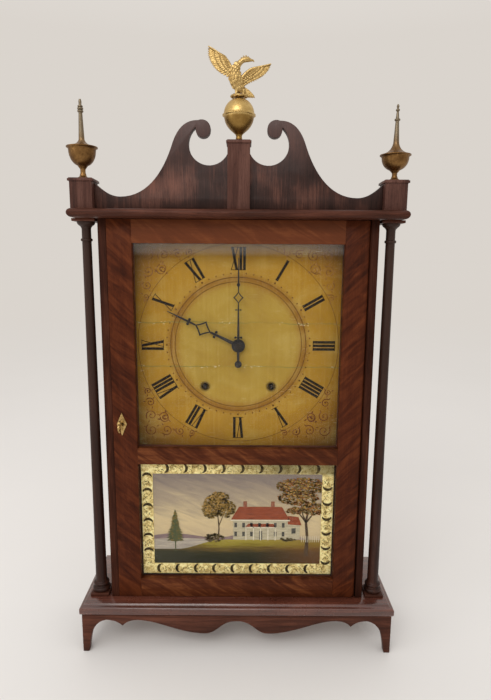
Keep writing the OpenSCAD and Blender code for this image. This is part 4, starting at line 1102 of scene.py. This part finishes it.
def eagle():
    """Gilt eagle with spread wings on a ring of laurel, its long neck turned to the right."""
    bm = bmesh.new()
    eagle_body(bm)
    wing(bm, ((-16, 46), (-13, 41), (-10.5, 36), (-7, 30)),
         ((-38.2, 57), (-38.6, 50), (-36, 42), (-30.4, 34), (-22, 27.6), (-9, 21)),
         ((-6, 30), (-10, 35), (-12.4, 39.5), (-16, 44.5), (-23, 49.6), (-31, 55), (-37.8, 58.6)))
    wing(bm, ((18, 33), (14, 31), (10, 28), (4, 22)),
         ((38.8, 38.8), (36.4, 32.8), (30.4, 26.4), (21.8, 21), (12, 16.6), (5.5, 13)),
         ((3, 23), (7, 27.4), (11, 30.8), (15, 33.4), (22, 35.2), (31.4, 37.2), (38.8, 39.2)))
    for x, z in ((19.4, 0.9), (16.6, 0.7), (13.8, 0.7), (11.4, 0.9)):
        feather(bm, perched(5, 13), perched(x, z), 4.6, 2.5)
    eagle_feet(bm)
    laurel_perch(bm)
    bmesh.ops.recalc_face_normals(bm, faces=bm.faces[:])
    shown("eagle_fine", bm, GILT, "case", smooth=50, replaces=["eagle"])


# ---- cords

def twisted(bm, path, radius, strands=3, pitch=4.2 * MM):
    """Three strands laid round a path that lies in a plane of constant Y."""
    length = 0.0
    lines = [[] for _ in range(strands)]
    for i, point in enumerate(path):
        if i:
            length += (point - path[i - 1]).length
        way = (path[min(i + 1, len(path) - 1)] - path[max(i - 1, 0)]).normalized()
        side = way.cross(Vector((0, 1, 0))).normalized()
        for k in range(strands):
            a = 2 * math.pi * (k / strands + length / pitch)
            lines[k].append(point + (side * math.cos(a) + Vector((0, math.sin(a), 0))) * radius * 0.5)
    for line in lines:
        tube(bm, line, [radius * 0.52] * len(line), 6)


def cord(side, node, weight, drum, pulley):
    """A weight cord: its run from the drum round the pulley, and its drop from the pulley to the weight."""
    hub, wheel = middle(drum), middle(pulley)
    plane = middle(node).y
    radius = (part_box(node)[1].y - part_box(node)[0].y) / 2
    coil = (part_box(drum)[1].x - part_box(drum)[0].x) / 2 - 4 * MM
    groove = abs(middle(weight).x) - abs(wheel.x)
    gap = Vector((abs(wheel.x) - abs(hub.x), wheel.z - hub.z))
    slant = math.atan2(gap.y, gap.x) - math.acos((coil + groove) / gap.length)

    def round_hub(centre, r, start, end, count):
        return [Vector((side * (abs(centre.x) + r * math.cos(a)), plane, centre.z + r * math.sin(a)))
                for a in [start + (end - start) * i / count for i in range(count + 1)]]

    def straight(a, b):
        count = max(2, int((b - a).length / (0.8 * MM)))
        return [a + (b - a) * i / count for i in range(1, count)]

    lap = round_hub(hub, coil, slant - math.radians(270), slant, 90)
    turn = round_hub(wheel, groove, slant + math.pi, 0, 44)
    run = bmesh.new()
    twisted(run, lap + straight(lap[-1], turn[0]) + turn, radius)
    shown(node + "_run", run, LINEN, "case", smooth=60, replaces=[node])
    ring_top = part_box(weight)[1].z
    top, bottom = turn[-1], Vector((turn[-1].x, plane, ring_top + radius * 0.3))
    drop = bmesh.new()
    twisted(drop, [top] + straight(top, bottom) + [bottom], radius)
    piece = shown(node + "_drop", drop, LINEN, "case", smooth=60)
    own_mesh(piece)


camera()
floor()
studio()
case_work()
brass_work()
movement()
eased("dial", DIAL_PAINT, 0.4 * MM)
eased("dial_glass", GLASS, 0)
dial_art()
hands()
tablet()
eagle()
cord(1, "cord_time", "weight_time", "time_drum", "pulley_r")
cord(-1, "cord_strike", "weight_strike", "strike_drum", "pulley_l")
